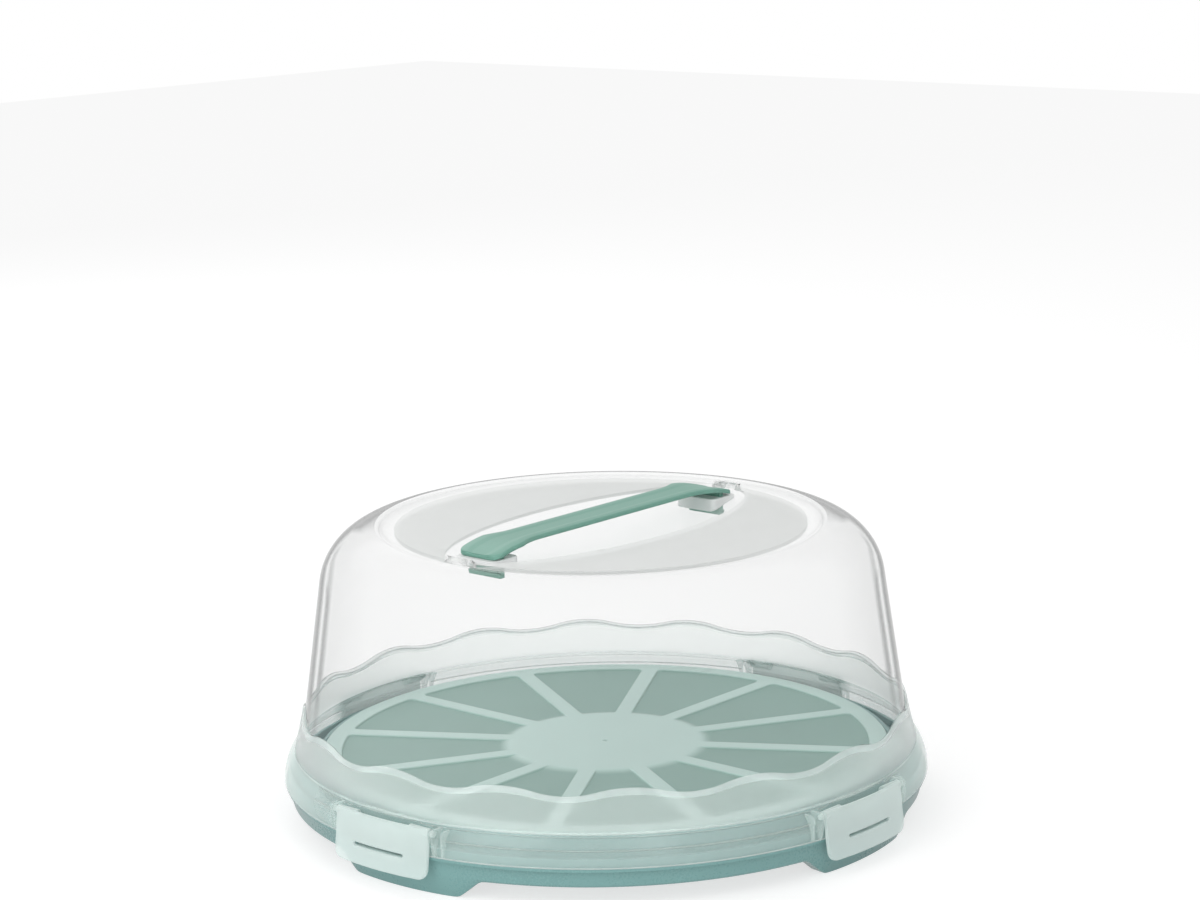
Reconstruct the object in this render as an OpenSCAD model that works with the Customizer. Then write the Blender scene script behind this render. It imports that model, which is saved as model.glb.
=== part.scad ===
// Round cake carrier: clear dome lid with a strap handle and four hinged clips,
// on a footed tray that holds a reversible serving plate with twelve portions.
// Millimetres, +Z up. The origin is the centre of the feet's plane on the table.
// +X runs along the carrying handle; the clips stand at 0, 90, 180 and 270 degrees.

/* [Tray] */
// Height of the feet, from the table to the tray's floor
foot_h = 10.3; // [8:0.1:14]
// Half width of a foot's tread, along the rim
foot_half_w = 34; // [25:0.5:42]
// How far a foot's sloping end runs out above its tread
foot_slope = 12; // [8:0.5:16]
// Corner radius of a foot's tread
foot_round_r = 4; // [2:0.5:5]
// Depth of a foot, from the apron's face inwards
foot_depth = 9.5; // [7:0.5:12]
// Turn of the feet against the clips, in degrees
foot_turn = 3; // [0:0.5:6]
// Draw-in of a foot's face down to its tread
foot_draft = 1; // [0.5:0.1:1.5]
// Wall thickness of the tray
tray_t = 2.2; // [1.8:0.1:2.6]
// Height of the flange's top above the tray's floor
rim_h = 10.6; // [9.5:0.1:12]
// Thickness of the rim flange that the clips grip
flange_t = 1.8; // [1.5:0.1:2.4]
// How far the flange stands out of the apron
flange_out = 2.4; // [2:0.1:3]
// How far the flange stays inside the lid's lip
flange_inset = 0.7; // [0.4:0.1:1]
// Lean of the apron from the flange down to its bevel
apron_lean = 0.7; // [0.3:0.1:1.2]
// Bevel along the apron's lower edge
apron_bevel = 1; // [0.5:0.1:1.5]
// Height of the ring that centres the lid on the flange
centring_h = 4; // [3:0.1:5]
// Width of the ledge that carries the plate
ledge_w = 6.5; // [4:0.5:10]
// Height of the tray's rim above the ledge
rim_lip_h = 1.5; // [1:0.1:2.5]

/* [Serving plate] */
// Room between the serving plate's edge and the foot of the dome's wall
plate_room = 8.3; // [7.5:0.1:14]
// Thickness of the serving plate
plate_t = 3; // [2.5:0.1:4]
// Height of the plate's top above the flange
plate_rise = 12.3; // [10:0.1:14]
// Number of portions marked on the plate
portions = 12; // [6:1:16]
// Radius of the plain middle of the plate
hub_r = 50; // [30:1:60]
// Width of the raised bar between two portions
spoke_w = 8.5; // [6:0.5:12]
// Width of the plate's raised border
border_w = 10; // [6:0.5:14]
// Depth of a portion's panel below the bars
panel_depth = 1; // [0.5:0.1:1.4]
// Corner radius of a portion's panel
panel_round_r = 4; // [2:0.5:5]
// Bevel of the plate's edge
plate_edge = 0.8; // [0.4:0.1:1.2]

/* [Lid] */
// Radius of the lid's lip
lip_r = 172.5; // [165:0.5:180]
// Wall thickness of the lid
lid_t = 2; // [1.6:0.1:2.2]
// Height of the skirt, from the lip to the crease
skirt_h = 16.1; // [15:0.1:17]
// Radius of the skirt's rounding
skirt_round_r = 24.7; // [23:0.1:30]
// Height of the band, from the crease to the middle of its wavy edge
band_h = 19.4; // [16:0.1:26]
// How far the band draws in from the crease to its wavy edge
band_lean = 4.9; // [3.5:0.1:6]
// How much the band curves: 1 is straight
band_curve = 1.25; // [1:0.05:1.8]
// How far the band stands out of the dome's wall
band_step = 1.3; // [0.8:0.1:1.8]
// Number of waves round the band's edge
waves = 16; // [8:1:24]
// Height of a wave above and below the middle of the edge
wave_amp = 2; // [1:0.1:3]
// Lean of the dome's wall from upright, in degrees
wall_draft = 8.3; // [4:0.1:10]
// Height of the dome's shoulder ring above the lip
dome_h = 135; // [120:1:150]
// Radius of the rounding at the dome's shoulder
shoulder_r = 33; // [24:0.5:38]
// Depth of the flat top below the shoulder ring
top_sink = 2; // [1:0.1:3]
// Width of the slope from the shoulder ring down to the flat top
top_slope_w = 5.7; // [4:0.1:8]

/* [Hand recess] */
// Gap between the recess's pointed ends and the flat top's edge
recess_margin = 1.5; // [1:0.5:4]
// Half width of the hand recess
recess_half_w = 46.5; // [38:0.5:52]
// Depth of the hand recess below the flat top
recess_depth = 16; // [13:0.5:19]

/* [Handle] */
// Distance from the recess's end to the handle's end
handle_margin = 14; // [12:0.5:18]
// Half width of the handle at its ends
handle_end_half_w = 15; // [13.5:0.5:17]
// Half width of the handle in its middle
handle_mid_half_w = 8.5; // [6:0.5:11]
// Length of the wide part at each end of the handle
handle_paddle_l = 18; // [14:0.5:24]
// Thickness of the handle
handle_t = 3; // [2.5:0.1:4]
// Rise of the handle from its ends to its middle
handle_rise = 2.9; // [1:0.1:6]
// Corner radius of the handle's ends
handle_round_r = 6; // [3:0.5:8]
// Distance from the handle's end to the middle of its leg
leg_inset = 7; // [6:0.5:8]
// Thickness of a handle leg
leg_t = 3; // [2.5:0.1:3.5]
// Width of a handle leg
leg_w = 22; // [16:0.5:24]
// Step of the barb that holds a handle leg
barb = 1.2; // [0.8:0.1:1.5]
// Height of that barb
barb_h = 2.6; // [2:0.1:4]
// Half length of the pad under each end of the handle
pad_half_l = 10; // [8:0.5:11]
// Half width of that pad
pad_half_w = 13.5; // [12.5:0.5:15]
// Height of that pad above the flat top
pad_rise = 0.4; // [0.2:0.1:1]
// Corner radius of that pad
pad_round_r = 3; // [2:0.5:4]

/* [Clips] */
// Half width of a clip
clip_half_w = 32; // [26:0.5:36]
// Thickness of a clip's plate
clip_t = 2; // [1.6:0.1:2.2]
// Height of a clip's plate below the hinge axis
clip_drop = 23.4; // [21:0.1:25]
// Height of a clip's plate above the hinge axis
clip_over = 1.4; // [1:0.1:1.6]
// How far the finger tab leans out at its lower edge
tab_lean = 1.6; // [1:0.1:3]
// Corner radius of the finger tab
tab_round_r = 5; // [3:0.5:7]
// Half width of a clip's hook
hook_half_w = 17; // [12:0.5:20]
// Height of a clip's hook
hook_h = 3; // [2:0.1:3.4]
// Slope under the edge of a clip's hook
hook_bevel = 1.2; // [0.6:0.1:1.5]
// Height of the slot above a clip's hook
slot_h = 1.7; // [1.2:0.1:2]
// How far the hinge axis lies inside the lip's radius
axis_inset = 3.3; // [3:0.1:3.6]
// Depth of the hinge axis below the crease
axis_drop = 3.9; // [3.6:0.1:4.2]
// Radius of a clip's hinge barrel
barrel_r = 2.4; // [2.2:0.1:2.6]
// Length of the barrel at each end of a clip
barrel_l = 14; // [10:0.5:16]
// Radius of a clip's hinge pin
pin_r = 1.5; // [1.3:0.1:1.7]
// Length of a clip's hinge pin
pin_l = 2.8; // [2.2:0.1:3]
// Thickness of the lug that holds a hinge pin
lug_t = 2.2; // [1.8:0.1:2.6]
// How far a lug and its rib stand out of the lip at their foot
lug_proud = 0.4; // [0.2:0.1:0.8]
// Gap between a lug and its outer rib
lug_gap = 2.6; // [2:0.1:3.2]
// Thickness of that outer rib
rib_t = 1.6; // [1.2:0.1:2]
// How far the outer rib stays behind its lug
rib_back = 2.6; // [2:0.1:3.2]
// Height of the outer rib above the hinge axis
rib_top = 1.6; // [1:0.1:2]

/* [Clearances] */
// Gap between the lid's lip and the tray's flange
seat_gap = 0.1; // [0.05:0.05:0.3]
// Gap between the tray's centring ring and the lid's lip
centring_gap = 1.1; // [0.9:0.1:1.5]
// Gap round the serving plate in the tray's rim
plate_gap = 0.8; // [0.5:0.1:1.2]
// Gap round a hinge pin in its lug
pin_gap = 0.06; // [0.03:0.01:0.1]
// Gap between a hook and the flange that it grips
hook_gap = 0.4; // [0.3:0.05:0.6]
// Gap between a clip's plate and the lid's lip
clip_gap = 0.7; // [0.5:0.1:1.2]
// Gap at each end of a clip, to its lugs
end_gap = 1; // [0.5:0.1:1.5]
// Gap round a barrel in its pocket
pocket_gap = 0.5; // [0.4:0.05:0.8]
// Gap round a handle leg in its slot
leg_gap = 0.3; // [0.2:0.05:0.4]

/* [Hidden] */
$fn = 128;
cut = 1;          // how far a cutting shape runs past the face that it opens
sink = 0.4;       // how far an added shape is sunk into what carries it
reach = 20;       // how far a block that spans the rim runs to each side
arc_fn = 720;     // fineness of the long shallow arcs
arc_steps = 8;    // points on a short arc of an outline
clip_turns = [0, 90, 180, 270];

// Levels of the rim
flange_z = foot_h + rim_h;
lip_z = flange_z + seat_gap;
crease_z = lip_z + skirt_h;
wave_z = crease_z + band_h;
ring_z = lip_z + dome_h;
disc_z = ring_z - top_sink;

// Lid, from the lip inwards
skirt_c = lip_r - skirt_round_r;
crease_r = skirt_c + sqrt(pow(skirt_round_r, 2) - pow(skirt_h, 2));
band_top_r = crease_r - band_lean;
wall_foot_r = band_top_r - band_step;
shoulder_z = ring_z - shoulder_r;
tangent_z = shoulder_z + shoulder_r * sin(wall_draft);
wall_top_r = wall_foot_r - (tangent_z - wave_z) * tan(wall_draft);
shoulder_c = wall_top_r - shoulder_r * cos(wall_draft);
disc_r = shoulder_c - top_slope_w;
wave_half = PI * band_top_r / waves / 2 - sink;
wave_round_r = (pow(wave_half, 2) + pow(wave_amp, 2)) / (2 * wave_amp);

// Serving plate and tray
plate_r = wall_foot_r - plate_room;
plate_top_z = flange_z + plate_rise;
ledge_z = plate_top_z - plate_t - seat_gap;
rim_inner_r = plate_r + plate_gap;
rim_outer_r = rim_inner_r + tray_t;
flange_r = lip_r - flange_inset;
apron_r = flange_r - flange_out;
centring_r = lip_r - lid_t - centring_gap;
foot_outer_r = apron_r - apron_lean - apron_bevel;
foot_inner_r = foot_outer_r - foot_depth;

// Hand recess: a spindle turned about a line along X, above the flat top
recess_half_l = disc_r - recess_margin;
recess_turn_r = (pow(recess_half_w, 2) / recess_depth + recess_depth) / 2;
recess_axis_z = disc_z + recess_turn_r - recess_depth;
recess_arc_r = (pow(recess_half_l, 2) / recess_depth + recess_depth) / 2;

// Handle, on its two pads in the recess
handle_half_l = recess_half_l - handle_margin;
pad_z = disc_z + pad_rise;
handle_end_z = pad_z + seat_gap;
handle_arc_r = (pow(handle_half_l, 2) / handle_rise + handle_rise) / 2;
waist = handle_end_half_w - handle_mid_half_w;
waist_half_l = handle_half_l - handle_paddle_l;
waist_arc_r = (pow(waist_half_l, 2) / waist + waist) / 2;
leg_x = handle_half_l - leg_inset;
pad_floor_z = recess_z(leg_x - pad_half_l) - 2 * sink;
leg_foot_z = pad_floor_z - seat_gap - barb_h;

// Clips: the hinge axis runs along the rim's tangent
axis_x = lip_r - axis_inset;
axis_z = crease_z - axis_drop;
clip_top_z = axis_z + clip_over;
clip_foot_z = axis_z - clip_drop;
hook_top_z = flange_z - flange_t - hook_gap;
hook_r = apron_r + hook_gap;
slot_z = hook_top_z + slot_h / 2 + sink / 2;
pocket_x = axis_x - barrel_r - pocket_gap;
pocket_floor_z = axis_z - barrel_r - 2 * pocket_gap;
pocket_roof_z = axis_z + barrel_r + pocket_gap;
lug_y = clip_half_w + end_gap;
lug_x = axis_x + barrel_r;
rib_y = lug_y + lug_t + lug_gap;

// Distance of the lip from the middle plane across it, at y from the other one
function lip_x(y) = sqrt(pow(lip_r, 2) - pow(y, 2));

// Height of the recess's surface on its middle line
function recess_z(x) = recess_axis_z
  - (recess_turn_r - recess_arc_r + sqrt(pow(recess_arc_r, 2) - pow(x, 2)));

// Radius of the band's face at height z
function band_r(z) = band_top_r
  + band_lean * pow(max(0, 1 - (z - crease_z) / (band_h + wave_amp)), band_curve);

// ---- Helpers ----

// A rectangle from a to b with its four corners rounded
module soft_box(a, b, r) {
  translate([a[0] + r, a[1]]) square([b[0] - a[0] - 2 * r, b[1] - a[1]]);
  translate([a[0], a[1] + r]) square([b[0] - a[0], b[1] - a[1] - 2 * r]);
  for (x = [a[0] + r, b[0] - r], y = [a[1] + r, b[1] - r])
    translate([x, y]) circle(r = r, $fn = 48);
}

// Stands an outline in the Y-Z plane and pushes it out along +X
module push_x(from, to) {
  translate([from, 0, 0]) rotate([90, 0, 90]) linear_extrude(height = to - from) children();
}

// Stands an outline in the X-Z plane and pushes it along Y
module push_y(from, to) {
  translate([0, to, 0]) rotate([90, 0, 0]) linear_extrude(height = to - from) children();
}

// A round bar along Y on the hinge axis of the clip at +X
module axis_bar(r, from, to) {
  translate([axis_x, to, axis_z]) rotate([90, 0, 0]) cylinder(r = r, h = to - from, $fn = 48);
}

// ---- Tray ----

module tray_section() {
  // floor, wall and ledge
  translate([0, foot_h]) square([rim_outer_r, tray_t]);
  translate([rim_inner_r, foot_h]) square([tray_t, ledge_z + rim_lip_h - foot_h]);
  translate([rim_inner_r - ledge_w, ledge_z - tray_t]) square([ledge_w + sink, tray_t]);
  // flange, centring ring and apron
  translate([rim_inner_r + sink, flange_z - flange_t])
    square([flange_r - rim_inner_r - sink, flange_t]);
  translate([centring_r - tray_t, flange_z - sink]) square([tray_t, centring_h + sink]);
  polygon([[apron_r - tray_t, flange_z - sink], [apron_r, flange_z - sink],
           [apron_r - apron_lean, foot_h + apron_bevel], [foot_outer_r, foot_h],
           [foot_outer_r - tray_t, foot_h]]);
}

// Half outline of a foot seen from outside, from the tread up its slope to its top corner
function foot_side(top) =
  let (lean = atan2(foot_slope, foot_h), corner = foot_round_r * tan((90 - lean) / 2),
       far = foot_half_w + foot_slope + sink * tan(lean))
  concat(
    [for (i = [0:arc_steps]) let (a = -90 + (90 - lean) * i / arc_steps)
      [foot_half_w - corner + foot_round_r * cos(a), foot_round_r + foot_round_r * sin(a)]],
    [[far, foot_h + sink], [far, top]]);

module foot() {
  top = flange_z - flange_t + sink;
  side = foot_side(top);
  intersection() {
    rotate_extrude() polygon([
      [foot_inner_r, 0], [foot_outer_r - foot_draft, 0], [foot_outer_r, foot_h],
      [foot_outer_r, top], [foot_inner_r, top]]);
    push_x(foot_inner_r - reach, apron_r + cut)
      polygon(concat(side, [for (i = [len(side) - 1:-1:0]) [-side[i][0], side[i][1]]]));
  }
}

module base_tray() {
  color([0.43, 0.61, 0.59]) union() {
    rotate_extrude() tray_section();
    for (turn = clip_turns) rotate([0, 0, turn + foot_turn]) foot();
  }
}

// ---- Serving plate ----

// One portion's panel: a slice of the ring between the hub and the border
module panel() {
  half = 180 / portions;
  apex = spoke_w / 2 / sin(half);
  far = 2 * plate_r;
  offset(r = panel_round_r, $fn = 32) offset(delta = -panel_round_r) intersection() {
    difference() {
      circle(r = plate_r - border_w);
      circle(r = hub_r);
    }
    polygon([[apex, 0], [apex + far * cos(half), far * sin(half)],
             [apex + far * cos(half), -far * sin(half)]]);
  }
}

module insert_plate() {
  bottom_z = plate_top_z - plate_t;
  color([0.74, 0.84, 0.81]) difference() {
    rotate_extrude() polygon([
      [0, bottom_z], [plate_r - plate_edge, bottom_z], [plate_r, bottom_z + plate_edge],
      [plate_r, plate_top_z - plate_edge], [plate_r - plate_edge, plate_top_z],
      [0, plate_top_z]]);
    for (i = [0:portions - 1]) rotate([0, 0, (i + 0.5) * 360 / portions])
      translate([0, 0, plate_top_z - panel_depth])
        linear_extrude(height = panel_depth + cut) panel();
  }
}

// ---- Lid ----

// Half section of the dome alone, drawn in by inset
module wall_area(inset) {
  r = shoulder_r - inset;
  tangent = [shoulder_c + r * cos(wall_draft), shoulder_z + r * sin(wall_draft)];
  foot = tangent[0] + (tangent[1] - lip_z) * tan(wall_draft);
  intersection() {
    translate([shoulder_c, shoulder_z]) circle(r = r);
    translate([shoulder_c, shoulder_z]) square([r + cut, r + cut]);
  }
  polygon([[0, lip_z], [foot, lip_z], tangent, [shoulder_c, shoulder_z],
           [shoulder_c, ring_z - inset], [disc_r, disc_z - inset], [0, disc_z - inset]]);
}

// Half section of the skirt and of the band up to height top, drawn in by inset
module band_area(inset, top) {
  r = skirt_round_r - inset;
  intersection() {
    translate([skirt_c, lip_z]) circle(r = r);
    translate([skirt_c, lip_z]) square([r + cut, skirt_h]);
  }
  polygon(concat(
    [[0, lip_z], [skirt_c, lip_z], [skirt_c + sqrt(pow(r, 2) - pow(skirt_h, 2)), crease_z]],
    [for (i = [1:arc_steps]) let (z = crease_z + (top - crease_z) * i / arc_steps)
      [band_r(z) - inset, z]],
    [[0, top]]));
}

// The part of the band between two heights, as a ring sunk into the dome's wall
module band_ring(from, to) {
  inner = wall_foot_r - lid_t;
  rotate_extrude() polygon([
    [inner, from], [band_r(from), from], [band_r(to), to], [inner, to]]);
}

// Round caps that stand along the wavy edge: crests point up, troughs point down
module wave_caps(crest) {
  side = crest ? 1 : -1;
  depth = wave_amp + sink;
  for (i = [0:waves - 1]) rotate([0, 0, (i + (crest ? 0 : 0.5)) * 360 / waves])
    push_x(wall_foot_r - reach, crease_r) intersection() {
      translate([0, wave_z + side * (wave_amp - wave_round_r)])
        circle(r = wave_round_r, $fn = arc_fn);
      translate([-wave_half - cut, crest ? wave_z - sink : wave_z - wave_amp - sink])
        square([2 * (wave_half + cut), wave_amp + 2 * sink]);
    }
}

module lid_outside() {
  rotate_extrude() {
    wall_area(0);
    band_area(0, wave_z - wave_amp - sink);
  }
  difference() {
    band_ring(wave_z - wave_amp - cut, wave_z);
    wave_caps(false);
  }
  intersection() {
    band_ring(wave_z - cut, wave_z + wave_amp);
    wave_caps(true);
  }
}

module lid_inside() {
  rotate_extrude() {
    wall_area(lid_t);
    band_area(lid_t, wave_z - wave_amp - lid_t);
    translate([0, lip_z - cut]) square([lip_r - lid_t, cut + sink]);
  }
}

// The hand recess, made larger all round by grow
module recess(grow) {
  translate([0, 0, recess_axis_z]) rotate([0, 90, 0]) rotate_extrude() intersection() {
    translate([recess_turn_r - recess_arc_r, 0])
      circle(r = recess_arc_r + grow, $fn = arc_fn);
    translate([0, -disc_r - 2 * grow]) square([recess_turn_r + grow + cut, 2 * disc_r + 4 * grow]);
  }
}

// The lower skin of the recess, hanging from the flat top
module recess_skin() {
  floor_z = disc_z - recess_depth - lid_t - cut;
  intersection() {
    recess(lid_t);
    translate([0, 0, floor_z]) cylinder(r = disc_r, h = disc_z - floor_z);
  }
}

// The pad under one end of the handle
module handle_pad() {
  translate([leg_x, 0, pad_floor_z]) linear_extrude(height = pad_z - pad_floor_z)
    soft_box([-pad_half_l, -pad_half_w], [pad_half_l, pad_half_w], pad_round_r);
}

// The slot through that pad for the handle's leg
module handle_slot() {
  slot = [leg_t / 2 + leg_gap, leg_w / 2 + leg_gap];
  translate([leg_x - slot[0], -slot[1], pad_floor_z - cut])
    cube([2 * slot[0], 2 * slot[1], pad_z - pad_floor_z + 2 * cut]);
}

// Outline of a lug that holds a hinge pin, from the skirt out to the barrel
module lug_outline() {
  translate([axis_x, axis_z]) circle(r = barrel_r, $fn = 48);
  polygon([[crease_r - reach, lip_z + sink],
           [lip_x(lug_y + lug_t / 2) + lug_proud, lip_z + sink], [lug_x, axis_z],
           [axis_x, axis_z + barrel_r], [crease_r - reach, axis_z + barrel_r]]);
}

// Outline of the lower rib beside a lug
module rib_outline() {
  polygon([[crease_r - reach, lip_z + sink], [lip_x(rib_y + rib_t / 2) + lug_proud, lip_z + sink],
           [lug_x - rib_back, axis_z], [axis_x - rib_back, axis_z + rib_top],
           [crease_r - reach, axis_z + rib_top]]);
}

// The lugs and ribs on both sides of one clip
module clip_lugs() {
  for (side = [0, 1]) mirror([0, side, 0]) {
    push_y(lug_y, lug_y + lug_t) lug_outline();
    push_y(rib_y, rib_y + rib_t) rib_outline();
  }
}

// The flat wall behind one clip's barrel
module pocket_wall() {
  intersection() {
    lid_outside();
    translate([pocket_x - lid_t, -lug_y - lug_t, pocket_floor_z - lid_t])
      cube([lip_r, 2 * (lug_y + lug_t), pocket_roof_z - pocket_floor_z + 2 * lid_t]);
  }
}

module pocket_cut() {
  translate([pocket_x, -lug_y, pocket_floor_z])
    cube([lip_r, 2 * lug_y, pocket_roof_z - pocket_floor_z]);
  axis_bar(pin_r + pin_gap, -lug_y - lug_t - cut, lug_y + lug_t + cut);
}

module dome_lid() {
  color([0.86, 0.92, 0.90, 0.45]) difference() {
    union() {
      difference() {
        union() {
          difference() {
            union() {
              lid_outside();
              for (turn = clip_turns) rotate([0, 0, turn]) clip_lugs();
            }
            lid_inside();
          }
          recess_skin();
          for (turn = clip_turns) rotate([0, 0, turn]) pocket_wall();
        }
        recess(0);
      }
      for (turn = [0, 180]) rotate([0, 0, turn]) handle_pad();
    }
    for (turn = [0, 180]) rotate([0, 0, turn]) handle_slot();
    for (turn = clip_turns) rotate([0, 0, turn]) pocket_cut();
  }
}

// ---- Handle ----

module handle_leg() {
  translate([leg_x - leg_t / 2, -leg_w / 2, leg_foot_z])
    cube([leg_t, leg_w, handle_end_z + handle_t / 2 - leg_foot_z]);
  push_y(-leg_w / 2, leg_w / 2) polygon([
    [leg_x, leg_foot_z], [leg_x + leg_t / 2 + sink, leg_foot_z],
    [leg_x + leg_t / 2 + barb, leg_foot_z + barb_h], [leg_x, leg_foot_z + barb_h]]);
}

module carry_handle() {
  top_z = handle_end_z + handle_rise + handle_t;
  color([0.42, 0.60, 0.55]) union() {
    intersection() {
      translate([0, 0, handle_end_z - cut]) linear_extrude(height = handle_rise + handle_t + 2 * cut)
        difference() {
          soft_box([-handle_half_l, -handle_end_half_w], [handle_half_l, handle_end_half_w],
                   handle_round_r);
          for (side = [-1, 1]) translate([0, side * (handle_mid_half_w + waist_arc_r)])
            circle(r = waist_arc_r, $fn = arc_fn);
        }
      push_y(-handle_end_half_w - cut, handle_end_half_w + cut) difference() {
        translate([0, top_z - handle_arc_r - handle_t])
          circle(r = handle_arc_r + handle_t, $fn = 4 * arc_fn);
        translate([0, top_z - handle_arc_r - handle_t]) circle(r = handle_arc_r, $fn = 4 * arc_fn);
      }
    }
    for (turn = [0, 180]) rotate([0, 0, turn]) handle_leg();
  }
}

// ---- Clips ----

// Half section of a clip's plate: upright beside the skirt, leaning out at its tab
module clip_section() {
  neck_r = lip_r - clip_gap;
  in_r = lip_r + clip_gap;
  polygon([
    [neck_r, clip_top_z], [neck_r + clip_t, clip_top_z], [in_r + clip_t, lip_z],
    [in_r + clip_t + tab_lean, clip_foot_z], [in_r + tab_lean, clip_foot_z], [in_r, lip_z]]);
}

module clip() {
  color([0.86, 0.93, 0.91, 0.8]) union() {
    difference() {
      intersection() {
        rotate_extrude() clip_section();
        push_x(lip_r - reach, lip_r + reach)
          union() {
            soft_box([-clip_half_w, clip_foot_z], [clip_half_w, clip_top_z], tab_round_r);
            translate([-clip_half_w, axis_z - clip_drop / 2])
              square([2 * clip_half_w, clip_top_z - axis_z + clip_drop / 2]);
          }
      }
      push_x(lip_r - reach, lip_r + reach)
        soft_box([-hook_half_w, slot_z - slot_h / 2], [hook_half_w, slot_z + slot_h / 2],
                 0.45 * slot_h);
    }
    intersection() {
      rotate_extrude() polygon([
        [hook_r, hook_top_z], [lip_r + clip_gap + sink, hook_top_z],
        [lip_r + clip_gap + sink, hook_top_z - hook_h],
        [hook_r + hook_bevel, hook_top_z - hook_h]]);
      translate([lip_r - reach, -hook_half_w, clip_foot_z])
        cube([2 * reach, 2 * hook_half_w, clip_drop]);
    }
    for (side = [0, 1]) mirror([0, side, 0]) {
      axis_bar(barrel_r, clip_half_w - barrel_l, clip_half_w);
      axis_bar(pin_r, clip_half_w - cut, clip_half_w + pin_l);
    }
  }
}

module clip_right() { clip(); }

module clip_back() { rotate([0, 0, clip_turns[1]]) clip(); }

module clip_left() { rotate([0, 0, clip_turns[2]]) clip(); }

module clip_front() { rotate([0, 0, clip_turns[3]]) clip(); }

base_tray();
insert_plate();
dome_lid();
carry_handle();
clip_right();
clip_back();
clip_left();
clip_front();
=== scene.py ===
"""Looks of the round cake carrier: footed tray, portioned plate, clear dome lid, strap handle and clips.

Lengths are in metres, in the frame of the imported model: +Z up, +X along the carrying handle, the origin
in the middle of the feet's plane.
"""

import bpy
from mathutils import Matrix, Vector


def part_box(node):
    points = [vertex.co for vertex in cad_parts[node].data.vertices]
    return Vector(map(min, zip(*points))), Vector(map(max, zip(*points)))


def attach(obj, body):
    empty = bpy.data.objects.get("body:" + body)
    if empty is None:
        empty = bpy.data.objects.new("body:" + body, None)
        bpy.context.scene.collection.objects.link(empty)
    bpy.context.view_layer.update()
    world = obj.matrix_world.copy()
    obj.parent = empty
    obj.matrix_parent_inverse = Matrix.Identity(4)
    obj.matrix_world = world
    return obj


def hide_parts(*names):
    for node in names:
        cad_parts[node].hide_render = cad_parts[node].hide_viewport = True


bl_info = {
    "name": "Round Cake Carrier",
    "version": (1, 0, 0),
    "blender": (4, 5, 0),
    "location": "3D View > Sidebar > Cake Carrier",
    "description": "Builds the pieces and finishes of a round cake carrier around its packed frame",
    "category": "Object",
}

from math import atan2, cos, hypot, pi, radians, sin, sqrt, tan

import bmesh
import bpy
from bpy.props import FloatProperty, FloatVectorProperty, IntProperty, PointerProperty
from mathutils import Matrix, Vector

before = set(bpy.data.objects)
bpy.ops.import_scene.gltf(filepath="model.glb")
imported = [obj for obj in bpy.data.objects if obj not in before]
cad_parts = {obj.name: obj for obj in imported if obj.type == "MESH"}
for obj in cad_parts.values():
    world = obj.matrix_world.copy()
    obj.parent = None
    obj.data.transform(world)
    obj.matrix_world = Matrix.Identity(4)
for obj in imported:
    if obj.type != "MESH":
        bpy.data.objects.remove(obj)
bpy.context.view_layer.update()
_, TRAY_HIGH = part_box("base_tray")
PLATE_LOW, PLATE_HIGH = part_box("insert_plate")
LID_LOW, LID_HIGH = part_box("dome_lid")
HANDLE_LOW, HANDLE_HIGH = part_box("carry_handle")
CLIP_LOW, CLIP_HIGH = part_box("clip_right")

CLIPS = ("clip_right", "clip_back", "clip_left", "clip_front")
QUARTER = pi / 2
SEAT_GAP = 0.0001  # the lid's lip stands this far above the tray's flange


# ---- Properties ----


def length(name, description, default):
    """A size in metres for the sidebar."""
    return FloatProperty(
        name=name, description=description, default=default, unit="LENGTH", precision=4
    )


def angle(name, description, degrees):
    """An angle for the sidebar."""
    return FloatProperty(
        name=name, description=description, default=radians(degrees), subtype="ANGLE"
    )


def number(name, description, default):
    """A plain number for the sidebar."""
    return FloatProperty(name=name, description=description, default=default)


def whole(name, description, default):
    """A whole number for the sidebar."""
    return IntProperty(name=name, description=description, default=default)


def colour(name, description, default):
    """A plastic's colour for the sidebar, as linear red, green and blue."""
    return FloatVectorProperty(
        name=name, description=description, default=default, subtype="COLOR", min=0, max=1
    )


class TraySizes(bpy.types.PropertyGroup):
    """Sizes of the footed tray."""

    foot_h: length("Foot height", "From the table to the tray's floor", 0.0103)
    foot_half_w: length("Foot half width", "Half width of a foot's tread", 0.034)
    foot_slope: length("Foot slope", "Run of a foot's sloping end", 0.012)
    foot_depth: length("Foot depth", "Depth of a foot from the apron inwards", 0.0095)
    foot_draft: length("Foot draft", "Draw-in of a foot's face down to its tread", 0.001)
    foot_turn: angle("Foot turn", "Turn of the feet against the clips", 3)
    wall_t: length("Wall thickness", "Wall thickness of the tray", 0.0022)
    flange_t: length("Flange thickness", "Thickness of the flange that the clips grip", 0.0018)
    flange_out: length("Flange width", "How far the flange stands out of the apron", 0.0024)
    apron_lean: length("Apron lean", "Lean of the apron down to its bevel", 0.0007)
    apron_bevel: length("Apron bevel", "Bevel along the apron's lower edge", 0.001)
    centring_r: length("Centring radius", "Outer radius of the ring that centres the lid", 0.1694)
    centring_h: length("Centring height", "Height of that ring above the flange", 0.004)
    rim_gap: length("Rim gap", "Gap round the plate inside the tray's rim", 0.0008)
    ledge_w: length("Ledge width", "Width of the ledge that carries the plate", 0.0065)
    rim_lip_h: length("Rim lip", "Height of the rim above the ledge", 0.0015)
    columns: whole("Columns", "Sections round the tray", 600)


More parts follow.
